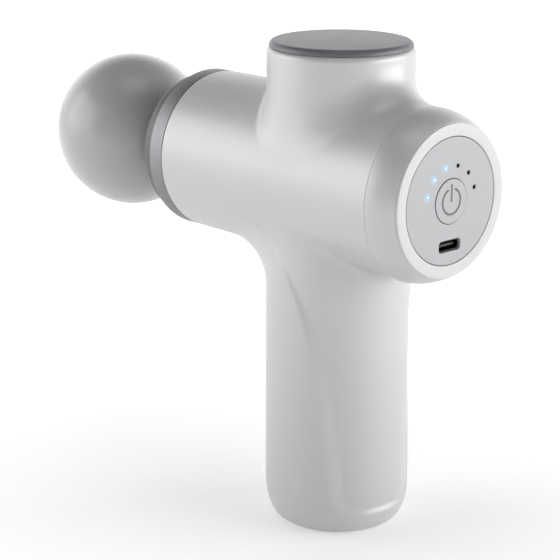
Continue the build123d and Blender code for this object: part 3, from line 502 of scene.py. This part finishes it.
def net(field, low, high, cell):
    """Quads over the zero surface of a field, with one vertex in each cell that it crosses (surface nets)."""
    margin = MARGIN_CELLS * cell
    axes = [np.arange(a - margin, b + margin, cell) for a, b in zip(low, high)]
    grid = np.stack(np.meshgrid(*axes, indexing="ij"), -1)
    value = field(grid)
    inside = value < 0
    shape = tuple(n - 1 for n in value.shape)
    total = np.zeros(shape + (3,))
    hits = np.zeros(shape)
    quads = []
    for axis in range(3):
        along = [slice(None)] * 3
        along[axis] = slice(0, -1)
        ahead = [slice(None)] * 3
        ahead[axis] = slice(1, None)
        v0, v1 = value[tuple(along)], value[tuple(ahead)]
        crossed = inside[tuple(along)] != inside[tuple(ahead)]
        share = np.where(crossed, v0 / np.where(crossed, v0 - v1, 1), 0)
        point = grid[tuple(along)].copy()
        point[..., axis] += share * cell
        u, v = [a for a in range(3) if a != axis]
        for s in (0, 1):
            for t in (0, 1):
                pick = [slice(None)] * 3
                pick[u] = slice(s, s + shape[u])
                pick[v] = slice(t, t + shape[v])
                hit = crossed[tuple(pick)]
                total += np.where(hit[..., None], point[tuple(pick)], 0)
                hits += hit
    used = hits > 0
    index = np.full(shape, -1)
    index[used] = np.arange(used.sum())
    vertices = total[used] / hits[used][:, None]
    for axis in range(3):
        u, v = (axis + 1) % 3, (axis + 2) % 3
        along = [slice(1, -1)] * 3
        along[axis] = slice(0, -1)
        ahead = [slice(1, -1)] * 3
        ahead[axis] = slice(1, None)
        first = inside[tuple(along)]
        at = np.argwhere(first != inside[tuple(ahead)])
        outward = first[tuple(at.T)]
        at[:, u] += 1
        at[:, v] += 1
        corners = []
        for du, dv in ((1, 1), (0, 1), (0, 0), (1, 0)):
            cell_at = at.copy()
            cell_at[:, u] -= du
            cell_at[:, v] -= dv
            corners.append(index[tuple(cell_at.T)])
        quad = np.stack(corners, 1)
        quad[~outward] = quad[~outward][:, ::-1]
        quads.append(quad)
    return vertices, np.concatenate(quads)


def settle(field, vertices, quads, rounds):
    """Evens out the vertices along the surface and brings them back onto it."""
    pairs = np.concatenate([quads[:, [i, (i + 1) % 4]] for i in range(4)])
    pairs = np.concatenate([pairs, pairs[:, ::-1]])
    count = np.bincount(pairs[:, 0], minlength=len(vertices))[:, None]
    for _ in range(rounds):
        sums = [np.bincount(pairs[:, 0], vertices[pairs[:, 1], a], len(vertices)) for a in range(3)]
        vertices = vertices + RELAXATION * (np.stack(sums, 1) / count - vertices)
        for _ in range(PROJECTIONS):
            slope = slope_of(field, vertices)
            vertices = vertices - field(vertices)[:, None] * slope / (slope ** 2).sum(1, keepdims=True)
    return vertices


def surface(field, cell, rounds, cuts):
    """The field's zero surface as a bmesh in metres, cut at planes of (point, normal)."""
    low = (front_mm, -rear_r_mm - 1, 0)
    high = (seam_mm, rear_r_mm + 1, rim_mm)
    vertices, quads = net(field, low, high, cell)
    vertices = settle(field, vertices, quads, rounds) * MM
    mesh = bpy.data.meshes.new("surface")
    mesh.from_pydata(vertices.tolist(), [], quads.tolist())
    shape = bmesh.new()
    shape.from_mesh(mesh)
    bpy.data.meshes.remove(mesh)
    for point, normal in cuts:
        everything = shape.verts[:] + shape.edges[:] + shape.faces[:]
        bmesh.ops.bisect_plane(
            shape, geom=everything, dist=SLIVER, plane_co=point, plane_no=normal, clear_outer=True,
        )
    return shape


def rim_edges(shape, point, normal):
    """Boundary edges that lie in a plane."""
    point, normal = Vector(point), Vector(normal)
    flat = [e for e in shape.edges if all(abs((v.co - point).dot(normal)) < IN_PLANE for v in e.verts)]
    return [e for e in flat if e.is_boundary]


def grow_rim(shape, point, normal, rings):
    """Extends the boundary in a plane through rings of (step along the normal, step towards the axis)."""
    edges = rim_edges(shape, point, normal)
    point, normal = Vector(point), Vector(normal)
    start = {vert: vert.co.copy() for edge in edges for vert in edge.verts}
    current = {vert: vert for vert in start}
    for along, inward in rings:
        links = [shape.edges.get((current[a], current[b])) for a, b in (edge.verts for edge in edges)]
        made = bmesh.ops.extrude_edge_only(shape, edges=links)["geom"]
        first = {old.co.copy().freeze(): vert for vert, old in current.items()}
        fresh = {first[v.co.copy().freeze()]: v for v in made if isinstance(v, bmesh.types.BMVert)}
        for vert, copy in fresh.items():
            offset = start[vert] - point
            radial = offset - normal * offset.dot(normal)
            copy.co = start[vert] + normal * along - radial.normalized() * inward
        current = fresh


def quarter_round(radius, steps):
    angles = [math.pi / 2 * k / steps for k in range(1, steps + 1)]
    return [(radius * math.sin(a), radius * (1 - math.cos(a))) for a in angles]


def housing_mesh():
    """Outer skin with rounded rims, joined to the lining in the planes of its three openings."""
    ahead, behind, up = (-1, 0, 0), (1, 0, 0), (0, 0, 1)
    front = (X_FRONT + FRONT_EDGE, 0, AXIS_Z)
    rear = (X_SEAM - SEAM_EDGE, 0, AXIS_Z)
    top = (0, 0, RIM_Z - RIM_ROUND)
    shape = surface(skin, CELL, SKIN_ROUNDS, ((front, ahead), (rear, behind), (top, up)))
    to_bush = FRONT_R - BUSH_HOLE_R
    through_wall = [(FRONT_EDGE, to_bush), (FRONT_EDGE - FRONT_WALL, to_bush)]
    grow_rim(shape, front, ahead, quarter_round(FRONT_EDGE, 4) + through_wall)
    grow_rim(shape, rear, behind, quarter_round(SEAM_EDGE, 3))
    grow_rim(shape, top, up, quarter_round(RIM_ROUND, 7))
    openings = (
        ((X_FRONT + FRONT_WALL, 0, AXIS_Z), ahead),
        ((X_SEAM, 0, AXIS_Z), behind),
        ((0, 0, RIM_Z), up),
    )
    inner = surface(lining, LINING_CELL, LINING_ROUNDS, openings)
    inside = bpy.data.meshes.new("lining")
    inner.to_mesh(inside)
    inner.free()
    shape.from_mesh(inside)
    bpy.data.meshes.remove(inside)
    # Known fault: many of the faces made here cross the opening instead of keeping to its rim. They lie
    # in the opening's own plane, where the nose, the rear cover and the cap hide them.
    for point, normal in openings:
        bmesh.ops.bridge_loops(shape, edges=rim_edges(shape, point, normal))
    bmesh.ops.recalc_face_normals(shape, faces=shape.faces)
    mesh = bpy.data.meshes.new("housing_shell")
    shape.to_mesh(mesh)
    shape.free()
    return mesh


# ---------------------------------------------------------------- materials of the outer pieces
pearl = moulded("pearl_shell", (0.50, 0.505, 0.505), 0.38, metallic=0.2, shift=0.01)
bezel_white = moulded("bezel_white", (0.53, 0.535, 0.535), 0.34, coat=0.1, shift=0.01)
panel_grey = (0.37, 0.375, 0.385)
ring_metal = machined("ring_metal", (0.25, 0.25, 0.26), 0.5, shift=0.03)
nose_dark = moulded("nose_dark", (0.10, 0.10, 0.105), 0.4, shift=0.04)
cap_grey = moulded("cap_grey", (0.12, 0.125, 0.135), 0.42, metallic=0.1, shift=0.03)
ball_grey = moulded(
    "ball_foam", (0.36, 0.365, 0.36), 0.32, grain=1900, grain_depth=0.015, coat=0.3, shift=0.03,
)
stem_grey = moulded("stem_grey", (0.09, 0.09, 0.095), 0.45, shift=0.04)
seal_black = moulded("seal_black", (0.025, 0.025, 0.026), 0.6, grain=3200, grain_depth=0.02, shift=0.05)
icon_grey = moulded("icon_inlay", (0.13, 0.13, 0.135), 0.5, shift=0.05)
piston_steel = machined("piston_steel", (0.62, 0.62, 0.63), 0.2)
lens_dark = moulded("led_dark", (0.004, 0.004, 0.005), 0.6, shift=0.05)
lens_dark.node_tree.nodes["Principled BSDF"].inputs["Specular IOR Level"].default_value = 0.15
# painted light: reach, falloff and strength of the lit lamps' blue glow, drawn as emission on the panel round
# them
HALO_REACH, HALO_FALLOFF, HALO_STRENGTH = (0.5 * MM, 1.9 * MM), 2.2, 0.55
CORE_REACH, LAMP_STRENGTH = (0.22 * MM, 0.42 * MM), 0.9


def nearness(tree, centres, inner, outer):
    """1 within the inner distance of any centre, falling to 0 at the outer distance."""
    space = own_space(tree)
    total = 0.0
    for centre in centres:
        away = tree.nodes.new("ShaderNodeVectorMath")
        away.operation = "DISTANCE"
        away.inputs[1].default_value = centre
        tree.links.new(space, away.inputs[0])
        total = compute(tree, "ADD", spread(tree, away.outputs["Value"], 1, 0, inner, outer), total)
    return total


def panel_material(lit_centres):
    """Panel plastic with a painted blue glow round the lit lamps, standing in for their light falling on it.
    """
    material = moulded("panel_grey", panel_grey, 0.4, shift=0.01)
    tree = material.node_tree
    shader = tree.nodes["Principled BSDF"]
    # painted light: the panel gives off blue light near the lit lamps, as if lit by them
    glow = compute(tree, "POWER", nearness(tree, lit_centres, *HALO_REACH), HALO_FALLOFF)
    shader.inputs["Emission Color"].default_value = (0.16, 0.46, 1.0, 1)
    tree.links.new(compute(tree, "MULTIPLY", glow, HALO_STRENGTH), shader.inputs["Emission Strength"])
    return material


def lit_material(lit_centres):
    """Lamp that is white in its middle and blue round it."""
    material, tree, shader = new_material("led_lit")
    core = nearness(tree, lit_centres, *CORE_REACH)
    colour = blend_colours(tree, core, (0.10, 0.36, 0.75), (0.85, 0.94, 1.0))
    tree.links.new(colour, shader.inputs["Emission Color"])
    tree.links.new(colour, shader.inputs["Base Color"])
    shader.inputs["Emission Strength"].default_value = LAMP_STRENGTH
    shader.inputs["Roughness"].default_value = 0.3
    return material


# ---------------------------------------------------------------- outer pieces
add_piece("housing_shell", housing_mesh(), pearl, "housing", "shell_plastic", "main_housing")

SEAT_X = bezel_low.x
FACE_X = bezel_high.x
BEZEL_PROUD = 0.6 * MM
COVER_FLOOR = 4.1 * MM          # thickness of the cover under the bezel
TAPER_LENGTH = 11.1 * MM
SIDE_STEPS = 24
COVER_END_X = FACE_X - BEZEL_PROUD
FLOOR_X = SEAT_X - COVER_FLOOR
LEDGE_R = 18.0 * MM
RECESS_R = 22.6 * MM
TAPER_R = 19.6 * MM             # the cover's side curves in towards the bezel
TAPER_START = FACE_X - TAPER_LENGTH


def taper_radius(x):
    return REAR_R - TAPER_R + math.sqrt(TAPER_R ** 2 - (x - TAPER_START) ** 2)


side_length = COVER_END_X - X_SEAM - SEAM_EDGE
side_x = [X_SEAM + SEAM_EDGE + side_length * k / SIDE_STEPS for k in range(SIDE_STEPS + 1)]
turned(
    "rear_cover_shell",
    [(FLOOR_X, LEDGE_R), (FLOOR_X, REAR_R - WALL), (X_SEAM, REAR_R - WALL),
     (X_SEAM, REAR_R - 1.5 * SEAM_EDGE), (X_SEAM + 0.3 * SEAM_EDGE, REAR_R - 0.8 * SEAM_EDGE),
     *[(x, taper_radius(x)) for x in side_x], (COVER_END_X, RECESS_R), (SEAT_X, RECESS_R), (SEAT_X, LEDGE_R)],
    pearl, "housing", "shell_plastic", "rear_cover", segments=256,
)

PANEL_GAP = 0.2 * MM
BEZEL_HOLE_R = PANEL_R + PANEL_GAP
BEZEL_PLUG_R = RECESS_R - 0.05 * MM
turned(
    "bezel_ring",
    rounded_outline([
        (SEAT_X, BEZEL_PLUG_R, 0), (COVER_END_X, BEZEL_PLUG_R, 0), (COVER_END_X, BEZEL_R, 0.1 * MM),
        (FACE_X, taper_radius(FACE_X), 0.2 * MM), (FACE_X, BEZEL_HOLE_R, 0.25 * MM),
        (SEAT_X, BEZEL_HOLE_R, 0),
    ]),
    bezel_white, "housing", "bezel_plastic", "panel_bezel", segments=256,
)

RING_EDGE = 0.35 * MM
RING_BORE_R = 21.5 * MM
turned(
    "front_ring_band",
    rounded_outline([
        (ring_low.x, RING_BORE_R, 0), (ring_low.x, FRONT_R, RING_EDGE),
        (ring_high.x, FRONT_R, RING_EDGE * 0.6), (ring_high.x, RING_BORE_R, 0),
    ]),
    ring_metal, "housing", "ring_metal", "front_ring", segments=256,
)

NOSE_ROUND = 3.0 * MM
MOUTH_GAP = 0.8 * MM            # round the piston where it leaves the nose
MOUTH_R = ROD_R + MOUTH_GAP
NOSE_HOLLOW = 3.4 * MM          # how far the hollow reaches ahead of the ring
NOSE_INNER_X = ring_low.x - NOSE_HOLLOW
NOSE_SPIGOT_R = RING_BORE_R - 0.1 * MM
NOSE_HOLLOW_R = RING_BORE_R - 1.8 * MM
SEAL_SEAT_R = 9.4 * MM
turned(
    "nose_face",
    rounded_outline([
        (nose_low.x, MOUTH_R, 0.5 * MM), (nose_low.x, NOSE_R, NOSE_ROUND), (ring_low.x, NOSE_R, 0),
        (ring_low.x, NOSE_SPIGOT_R, 0), (nose_high.x, NOSE_SPIGOT_R, 0),
        (nose_high.x, NOSE_HOLLOW_R, 0), (NOSE_INNER_X, NOSE_HOLLOW_R, 0),
        (NOSE_INNER_X, SEAL_SEAT_R, 0), (seal_low.x, SEAL_SEAT_R, 0), (seal_low.x, MOUTH_R, 0),
    ], steps=10),
    nose_dark, "housing", "nose_plastic", "front_nose", segments=256,
)

SEAL_R = 9.38 * MM
SEAL_BORE_R = ROD_R + 0.08 * MM
LIP_ROUND = 0.3 * MM
turned(
    "wiper_seal_ring",
    rounded_outline([
        (seal_low.x, SEAL_BORE_R, LIP_ROUND), (seal_low.x, SEAL_R, 0),
        (seal_high.x, SEAL_R, 0), (seal_high.x, SEAL_BORE_R, LIP_ROUND),
    ], steps=4),
    seal_black, "housing", "seal_rubber", "wiper_seal", segments=128,
)

CAP_ROUND = 1.7 * MM
SPIGOT_R = HANDLE_BORE_R - 0.1 * MM
SPIGOT_BORE_R = SPIGOT_R - 1.8 * MM
CAP_WEB_Z = RIM_Z - 1.2 * MM    # underside of the solid part of the spigot
turned(
    "top_cap_disc",
    rounded_outline([
        (cap_high.z, 0, 0), (cap_high.z, CAP_R, CAP_ROUND), (RIM_Z, CAP_R, 0), (RIM_Z, SPIGOT_R, 0),
        (cap_low.z, SPIGOT_R, 0), (cap_low.z, SPIGOT_BORE_R, 0),
        (CAP_WEB_Z, SPIGOT_BORE_R, 0), (CAP_WEB_Z, 0, 0),
    ], steps=8),
    cap_grey, "housing", "cap_plastic", "top_cap", upright=True, segments=256,
)


# ---------------------------------------------------------------- control panel
def middle(box):
    """Centre of a node across the barrel, as Y and height above the axis."""
    low, high = box
    return ((low.y + high.y) / 2, (low.z + high.z) / 2 - AXIS_Z)


LIT = 3                         # lamps that are on, counted from the left
lens_r = (lens_boxes[0][1].y - lens_boxes[0][0].y) / 2
lens_centres = [middle(box) for box in lens_boxes]
port_centre = middle((port_low, port_high))
PORT_CLEARANCE = 0.15 * MM
PORT_CORNER = 1.1 * MM
BUTTON_GAP, LENS_GAP = 0.2 * MM, 0.04 * MM
PANEL_EDGE, BUTTON_EDGE, ICON_EDGE = 0.18 * MM, 0.1 * MM, 0.02 * MM     # roundings of the plates
port_width = port_high.y - port_low.y + 2 * PORT_CLEARANCE
port_height = port_high.z - port_low.z + 2 * PORT_CLEARANCE
panel_x = panel_high.x
holes = [circle_points(BUTTON_R + BUTTON_GAP)]
holes += [slot_points(port_width, port_height, PORT_CORNER, port_centre)]
holes += [circle_points(lens_r + LENS_GAP, centre, count=32) for centre in lens_centres]
lit_points = [(panel_x, y, AXIS_Z + z) for y, z in lens_centres[:LIT]]
panel_plastic = panel_material(lit_points)
plate(
    "panel_plate", [circle_points(PANEL_R, count=256), *holes], SEAT_X, panel_x, PANEL_EDGE,
    panel_plastic, "housing", "panel_plastic", "control_panel",
)

ICON_LINE = 0.7 * MM
icon_r = (icon_high.y - icon_low.y - ICON_LINE) / 2
bar_top = icon_high.z - AXIS_Z
BAR_LENGTH = 5.4 * MM
bar_centre = (0, bar_top - BAR_LENGTH / 2)
ICON_GAP = 25                   # half of the ring's opening, degrees
ICON_DEPTH = 0.12 * MM
ICON_ROOT = 0.2 * MM            # how far the inlay reaches behind its CAD node
opening = (90 + ICON_GAP, 450 - ICON_GAP)
bar_end_r = ICON_LINE / 2 * 0.999       # a hair under half, so that no two points of the outline coincide


def open_ring(line):
    """Outline of a ring with a gap at its top and round ends."""
    half = line / 2
    ends = [(icon_r * math.cos(math.radians(a)), icon_r * math.sin(math.radians(a))) for a in opening]
    outer = arc_points(icon_r + half, *opening, (0, 0), 72)
    inner = arc_points(icon_r - half, opening[1], opening[0], (0, 0), 72)
    right_end = arc_points(half, opening[1], opening[1] + 180, ends[1], 8)
    left_end = arc_points(half, opening[0] + 180, opening[0] + 360, ends[0], 8)
    return outer + right_end[1:-1] + inner + left_end[1:-1]


icon_shapes = [open_ring(ICON_LINE), slot_points(ICON_LINE, BAR_LENGTH, bar_end_r, bar_centre)]
button_plastic = moulded("button_grey", panel_grey, 0.4, shift=0.01)
plate(
    "button_disc", [circle_points(BUTTON_R, count=128), *icon_shapes], SEAT_X, button_high.x, BUTTON_EDGE,
    button_plastic, "button", "panel_plastic", "power_button",
)
for part, outline in zip(("icon_ring", "icon_bar"), icon_shapes):
    replaced = ("power_icon",) if part == "icon_ring" else ()
    plate(
        part, [outline], icon_low.x - ICON_ROOT, icon_high.x - ICON_DEPTH, ICON_EDGE,
        icon_grey, "button", "icon_inlay", *replaced,
    )

LENS_DOME = 0.16 * MM
DOME_STEPS = 6
dome_foot_x = panel_x - 0.05 * MM
led_lit = lit_material(lit_points)
for number, (box, centre) in enumerate(zip(lens_boxes, lens_centres), start=1):
    lit = number <= LIT
    arc = [math.pi / 2 * k / DOME_STEPS for k in range(DOME_STEPS)]
    dome = [(dome_foot_x + LENS_DOME * math.sin(a), lens_r * math.cos(a)) for a in arc]
    outline = [(box[0].x, 0), (box[0].x, lens_r), *dome, (dome_foot_x + LENS_DOME, 0)]
    turned(
        f"lamp_{number}", outline, led_lit if lit else lens_dark, "housing", "led_lit" if lit else "led_dark",
        f"led_lens_{number}", centre=centre, segments=32,
    )

# ---------------------------------------------------------------- ball head and piston
NECK_R = 8.6 * MM
NECK_GAP = 0.1 * MM             # between the stem's neck and the edge of the ball's hole
NECK_STEP = 0.5 * MM
NECK_HOLE = 3 * MM              # depth of the ball's hole
NECK_ENTRY = 2.5 * MM           # how far the neck reaches into it
BALL_STEPS = 120
neck_angle = math.asin((NECK_R + NECK_GAP) / BALL_R)
ball_arc = [math.pi - (math.pi - neck_angle) * k / BALL_STEPS for k in range(BALL_STEPS + 1)]
ball_outline = [
    (BALL_X + BALL_R * math.cos(a), BALL_R * math.sin(a) if k else 0) for k, a in enumerate(ball_arc)
]
neck_x = ball_outline[-1][0]
ball_outline += [(neck_x - NECK_STEP, NECK_R), (neck_x - NECK_HOLE, NECK_R), (neck_x - NECK_HOLE, 0)]
ball = turned("ball", ball_outline, ball_grey, "head", "ball_foam", "ball_foam", segments=256)

SHANK_R = 4.72 * MM
HEAD_GAP = 0.1 * MM             # between the neck and the end of the piston
neck_face_x = rod_low.x - HEAD_GAP
neck_start_x = neck_x - NECK_ENTRY
turned(
    "stem_neck",
    rounded_outline([
        (neck_start_x, 0, 0), (neck_start_x, NECK_R - 0.02 * MM, 0), (neck_face_x, NECK_R, 1.2 * MM),
        (neck_face_x, SHANK_R, 0), (stem_high.x, SHANK_R, 0.8 * MM), (stem_high.x, 0, 0),
    ]),
    stem_grey, "head", "stem_plastic", "head_stem", segments=128,
)

SOCKET_R = 4.8 * MM
SOCKET_DEPTH = 20.5 * MM
turned(
    "piston_tube",
    rounded_outline([
        (rod_low.x, SOCKET_R, 0.2 * MM), (rod_low.x, ROD_R, 0.4 * MM), (rod_high.x, ROD_R, 0),
        (rod_high.x, 0, 0), (rod_low.x + SOCKET_DEPTH, 0, 0), (rod_low.x + SOCKET_DEPTH, SOCKET_R, 0),
    ]),
    piston_steel, "piston", "piston_metal", "piston_rod", segments=128,
)

# ---------------------------------------------------------------- materials of the CAD nodes that stay
STEEL, BRASS, ALUMINIUM = (0.56, 0.56, 0.58), (0.72, 0.53, 0.24), (0.70, 0.70, 0.72)
by_slot = {
    "frame_plastic": moulded(
        "frame_black", (0.035, 0.035, 0.038), 0.5, grain=1500, grain_depth=0.03, shift=0.1,
    ),
    "bush_plastic": moulded("bush_ivory", (0.62, 0.58, 0.48), 0.35, shift=0.03),
    "seal_rubber": seal_black,
    "turned_steel": machined("turned_steel", STEEL, 0.22),
    "screw_steel": machined("screw_steel", (0.42, 0.42, 0.44), 0.28),
    "weight_brass": machined("weight_brass", BRASS, 0.26, along="Z"),
    "motor_aluminium": machined("motor_aluminium", ALUMINIUM, 0.3, along="Z"),
    "lamination_steel": laminated("lamination_steel", (0.30, 0.30, 0.32)),
    "winding_copper": wound("winding_copper", (0.72, 0.34, 0.15)),
    "magnet": moulded("magnet", (0.11, 0.11, 0.12), 0.3, metallic=0.8, shift=0.06),
    "cell_wrap": moulded("cell_wrap", (0.05, 0.22, 0.36), 0.3, grain=1200, grain_depth=0.02, coat=0.4),
    "nickel": machined("nickel", (0.66, 0.64, 0.58), 0.25, along="Y"),
    "board": circuit("board", (0.012, 0.11, 0.045)),
    "chip_black": moulded("chip_black", (0.02, 0.02, 0.021), 0.5, shift=0.1),
    "connector_white": moulded("connector_white", (0.78, 0.77, 0.72), 0.4),
    "lead_red": moulded("lead_red", (0.45, 0.03, 0.02), 0.38),
    "lead_yellow": moulded("lead_yellow", (0.62, 0.42, 0.04), 0.38),
    "cell_foam": cellular("cell_foam", (0.05, 0.05, 0.052), 1500, 0.15),
    "port_metal": machined("port_metal", (0.035, 0.035, 0.038), 0.3),
}
slot_of = {part["node"]: part["material_slot"] for part in frame["record"]["subparts"]}
for node, carried in frame["nodes"].items():
    if not carried.hide_render:
        carried.data.materials.clear()
        carried.data.materials.append(by_slot[slot_of[node]])


# ---------------------------------------------------------------- floor, lights and camera
CAMERA_AZIMUTH, CAMERA_ELEVATION, CAMERA_ROLL = 46.38, 15.90, 0.22     # degrees
CAMERA_DISTANCE = 586.67 * MM
CAMERA_ACROSS, CAMERA_UP = -18.06 * MM, -31.73 * MM   # shift of the aim in the camera's plane
CAMERA_LENS = 124.06
FRONT_GLOW, WALL_GLOW = 0.5, 1.7         # radiance of the room in front of the gun and behind it
WALL_SPAN = (-0.1, 0.8)                   # towards the wall: cosines between which the one becomes the other
WALL_HEIGHT = (0.35, 0.7)                 # sines of the elevations between which the wall fades
OVERHEAD_SHARE = 0.15
FLOOR_REACH = 6.0                         # half the floor's side
FLOOR_DROP = 0.05 * MM                    # keeps the floor clear of the flat under the handle
FLOOR_TONES = ((0.90, 0.90, 0.90), (0.92, 0.92, 0.92))
FLOOR_GLOW = (0.25, 0.8)                  # light that the floor gives off under the gun and away from it
GLOW_REACH = (0.05, 0.4)
BOX_DISTANCE = 1.4
# soft boxes: degrees round from the camera, elevation, width, height and radiance
SOFT_BOXES = {
    "left_box": (-92, 16, 1.3, 0.9, 2.3),
    "right_box": (80, 13, 1.5, 0.8, 4.2),
    "top_box": (0, 85, 0.7, 0.7, 1.2),
}
middle_of_gun = Vector((0, 0, AXIS_Z))


def direction(azimuth, elevation):
    """Unit vector from the gun towards a viewer at this azimuth and elevation, in degrees."""
    a, e = math.radians(azimuth), math.radians(elevation)
    return Vector((math.sin(a) * math.cos(e), -math.cos(a) * math.cos(e), math.sin(e)))


def add_floor():
    material, tree, shader = new_material("floor_white")
    space = own_space(tree)
    tone = noise(tree, space, 3, 2)
    tree.links.new(blend_colours(tree, tone, *FLOOR_TONES), shader.inputs["Base Color"])
    shader.inputs["Roughness"].default_value = 0.9
    shader.inputs["Specular IOR Level"].default_value = 0.1
    shader.inputs["Emission Color"].default_value = (1, 1, 1, 1)
    away = tree.nodes.new("ShaderNodeVectorMath")
    away.operation = "LENGTH"
    tree.links.new(space, away.inputs[0])
    glow = spread(tree, away.outputs["Value"], *FLOOR_GLOW, *GLOW_REACH)
    tree.links.new(glow, shader.inputs["Emission Strength"])
    mesh = bpy.data.meshes.new("floor")
    signs = ((-1, -1), (1, -1), (1, 1), (-1, 1))
    corners = [(FLOOR_REACH * along, FLOOR_REACH * across, 0) for along, across in signs]
    mesh.from_pydata(corners, [], [(0, 1, 2, 3)])
    mesh.materials.append(material)
    floor = bpy.data.objects.new("floor", mesh)
    floor.location.z = -FLOOR_DROP
    bpy.context.scene.collection.objects.link(floor)


def soft_box(name, azimuth, elevation, width, height, radiance):
    """Large rectangular light aimed at the gun."""
    light = bpy.data.lights.new(name, "AREA")
    light.shape = "RECTANGLE"
    light.size = width
    light.size_y = height
    light.energy = math.pi * width * height * radiance
    lamp = bpy.data.objects.new(name, light)
    towards = direction(azimuth, elevation)
    lamp.location = middle_of_gun + towards * BOX_DISTANCE
    lamp.rotation_mode = "QUATERNION"
    lamp.rotation_quaternion = towards.to_track_quat("Z", "Y")
    bpy.context.scene.collection.objects.link(lamp)


def add_world():
    """Studio with a bright wall behind the gun that fades towards the front and overhead."""
    world = bpy.data.worlds.new("studio")
    bpy.context.scene.world = world
    world.use_nodes = True
    tree = world.node_tree
    space = tree.nodes.new("ShaderNodeTexCoord").outputs["Generated"]
    facing = tree.nodes.new("ShaderNodeVectorMath")
    facing.operation = "DOT_PRODUCT"
    facing.inputs[1].default_value = direction(CAMERA_AZIMUTH + 180, 0)
    tree.links.new(space, facing.inputs[0])
    apart = tree.nodes.new("ShaderNodeSeparateXYZ")
    tree.links.new(space, apart.inputs[0])
    wall = spread(tree, facing.outputs["Value"], FRONT_GLOW, WALL_GLOW, *WALL_SPAN)
    fade = spread(tree, apart.outputs["Z"], 1, OVERHEAD_SHARE, *WALL_HEIGHT)
    tree.links.new(compute(tree, "MULTIPLY", wall, fade), tree.nodes["Background"].inputs["Strength"])
    tree.nodes["Background"].inputs["Color"].default_value = (1, 1, 1, 1)


def add_camera():
    back = direction(CAMERA_AZIMUTH, CAMERA_ELEVATION)
    right = (-back).cross(Vector((0, 0, 1))).normalized()
    up = right.cross(-back)
    data = bpy.data.cameras.new("camera")
    data.lens = CAMERA_LENS
    camera = bpy.data.objects.new("camera", data)
    place = middle_of_gun + back * CAMERA_DISTANCE + right * CAMERA_ACROSS + up * CAMERA_UP
    roll = math.radians(CAMERA_ROLL)
    across = right * math.cos(roll) + up * math.sin(roll)
    upward = up * math.cos(roll) - right * math.sin(roll)
    camera.matrix_world = Matrix((across, upward, back)).transposed().to_4x4()
    camera.location = place
    bpy.context.scene.collection.objects.link(camera)
    bpy.context.scene.camera = camera


add_floor()
add_world()
for box_name, (round_from_camera, *shape_and_light) in SOFT_BOXES.items():
    soft_box(box_name, CAMERA_AZIMUTH + round_from_camera, *shape_and_light)
add_camera()
bpy.context.scene.view_settings.view_transform = "Standard"
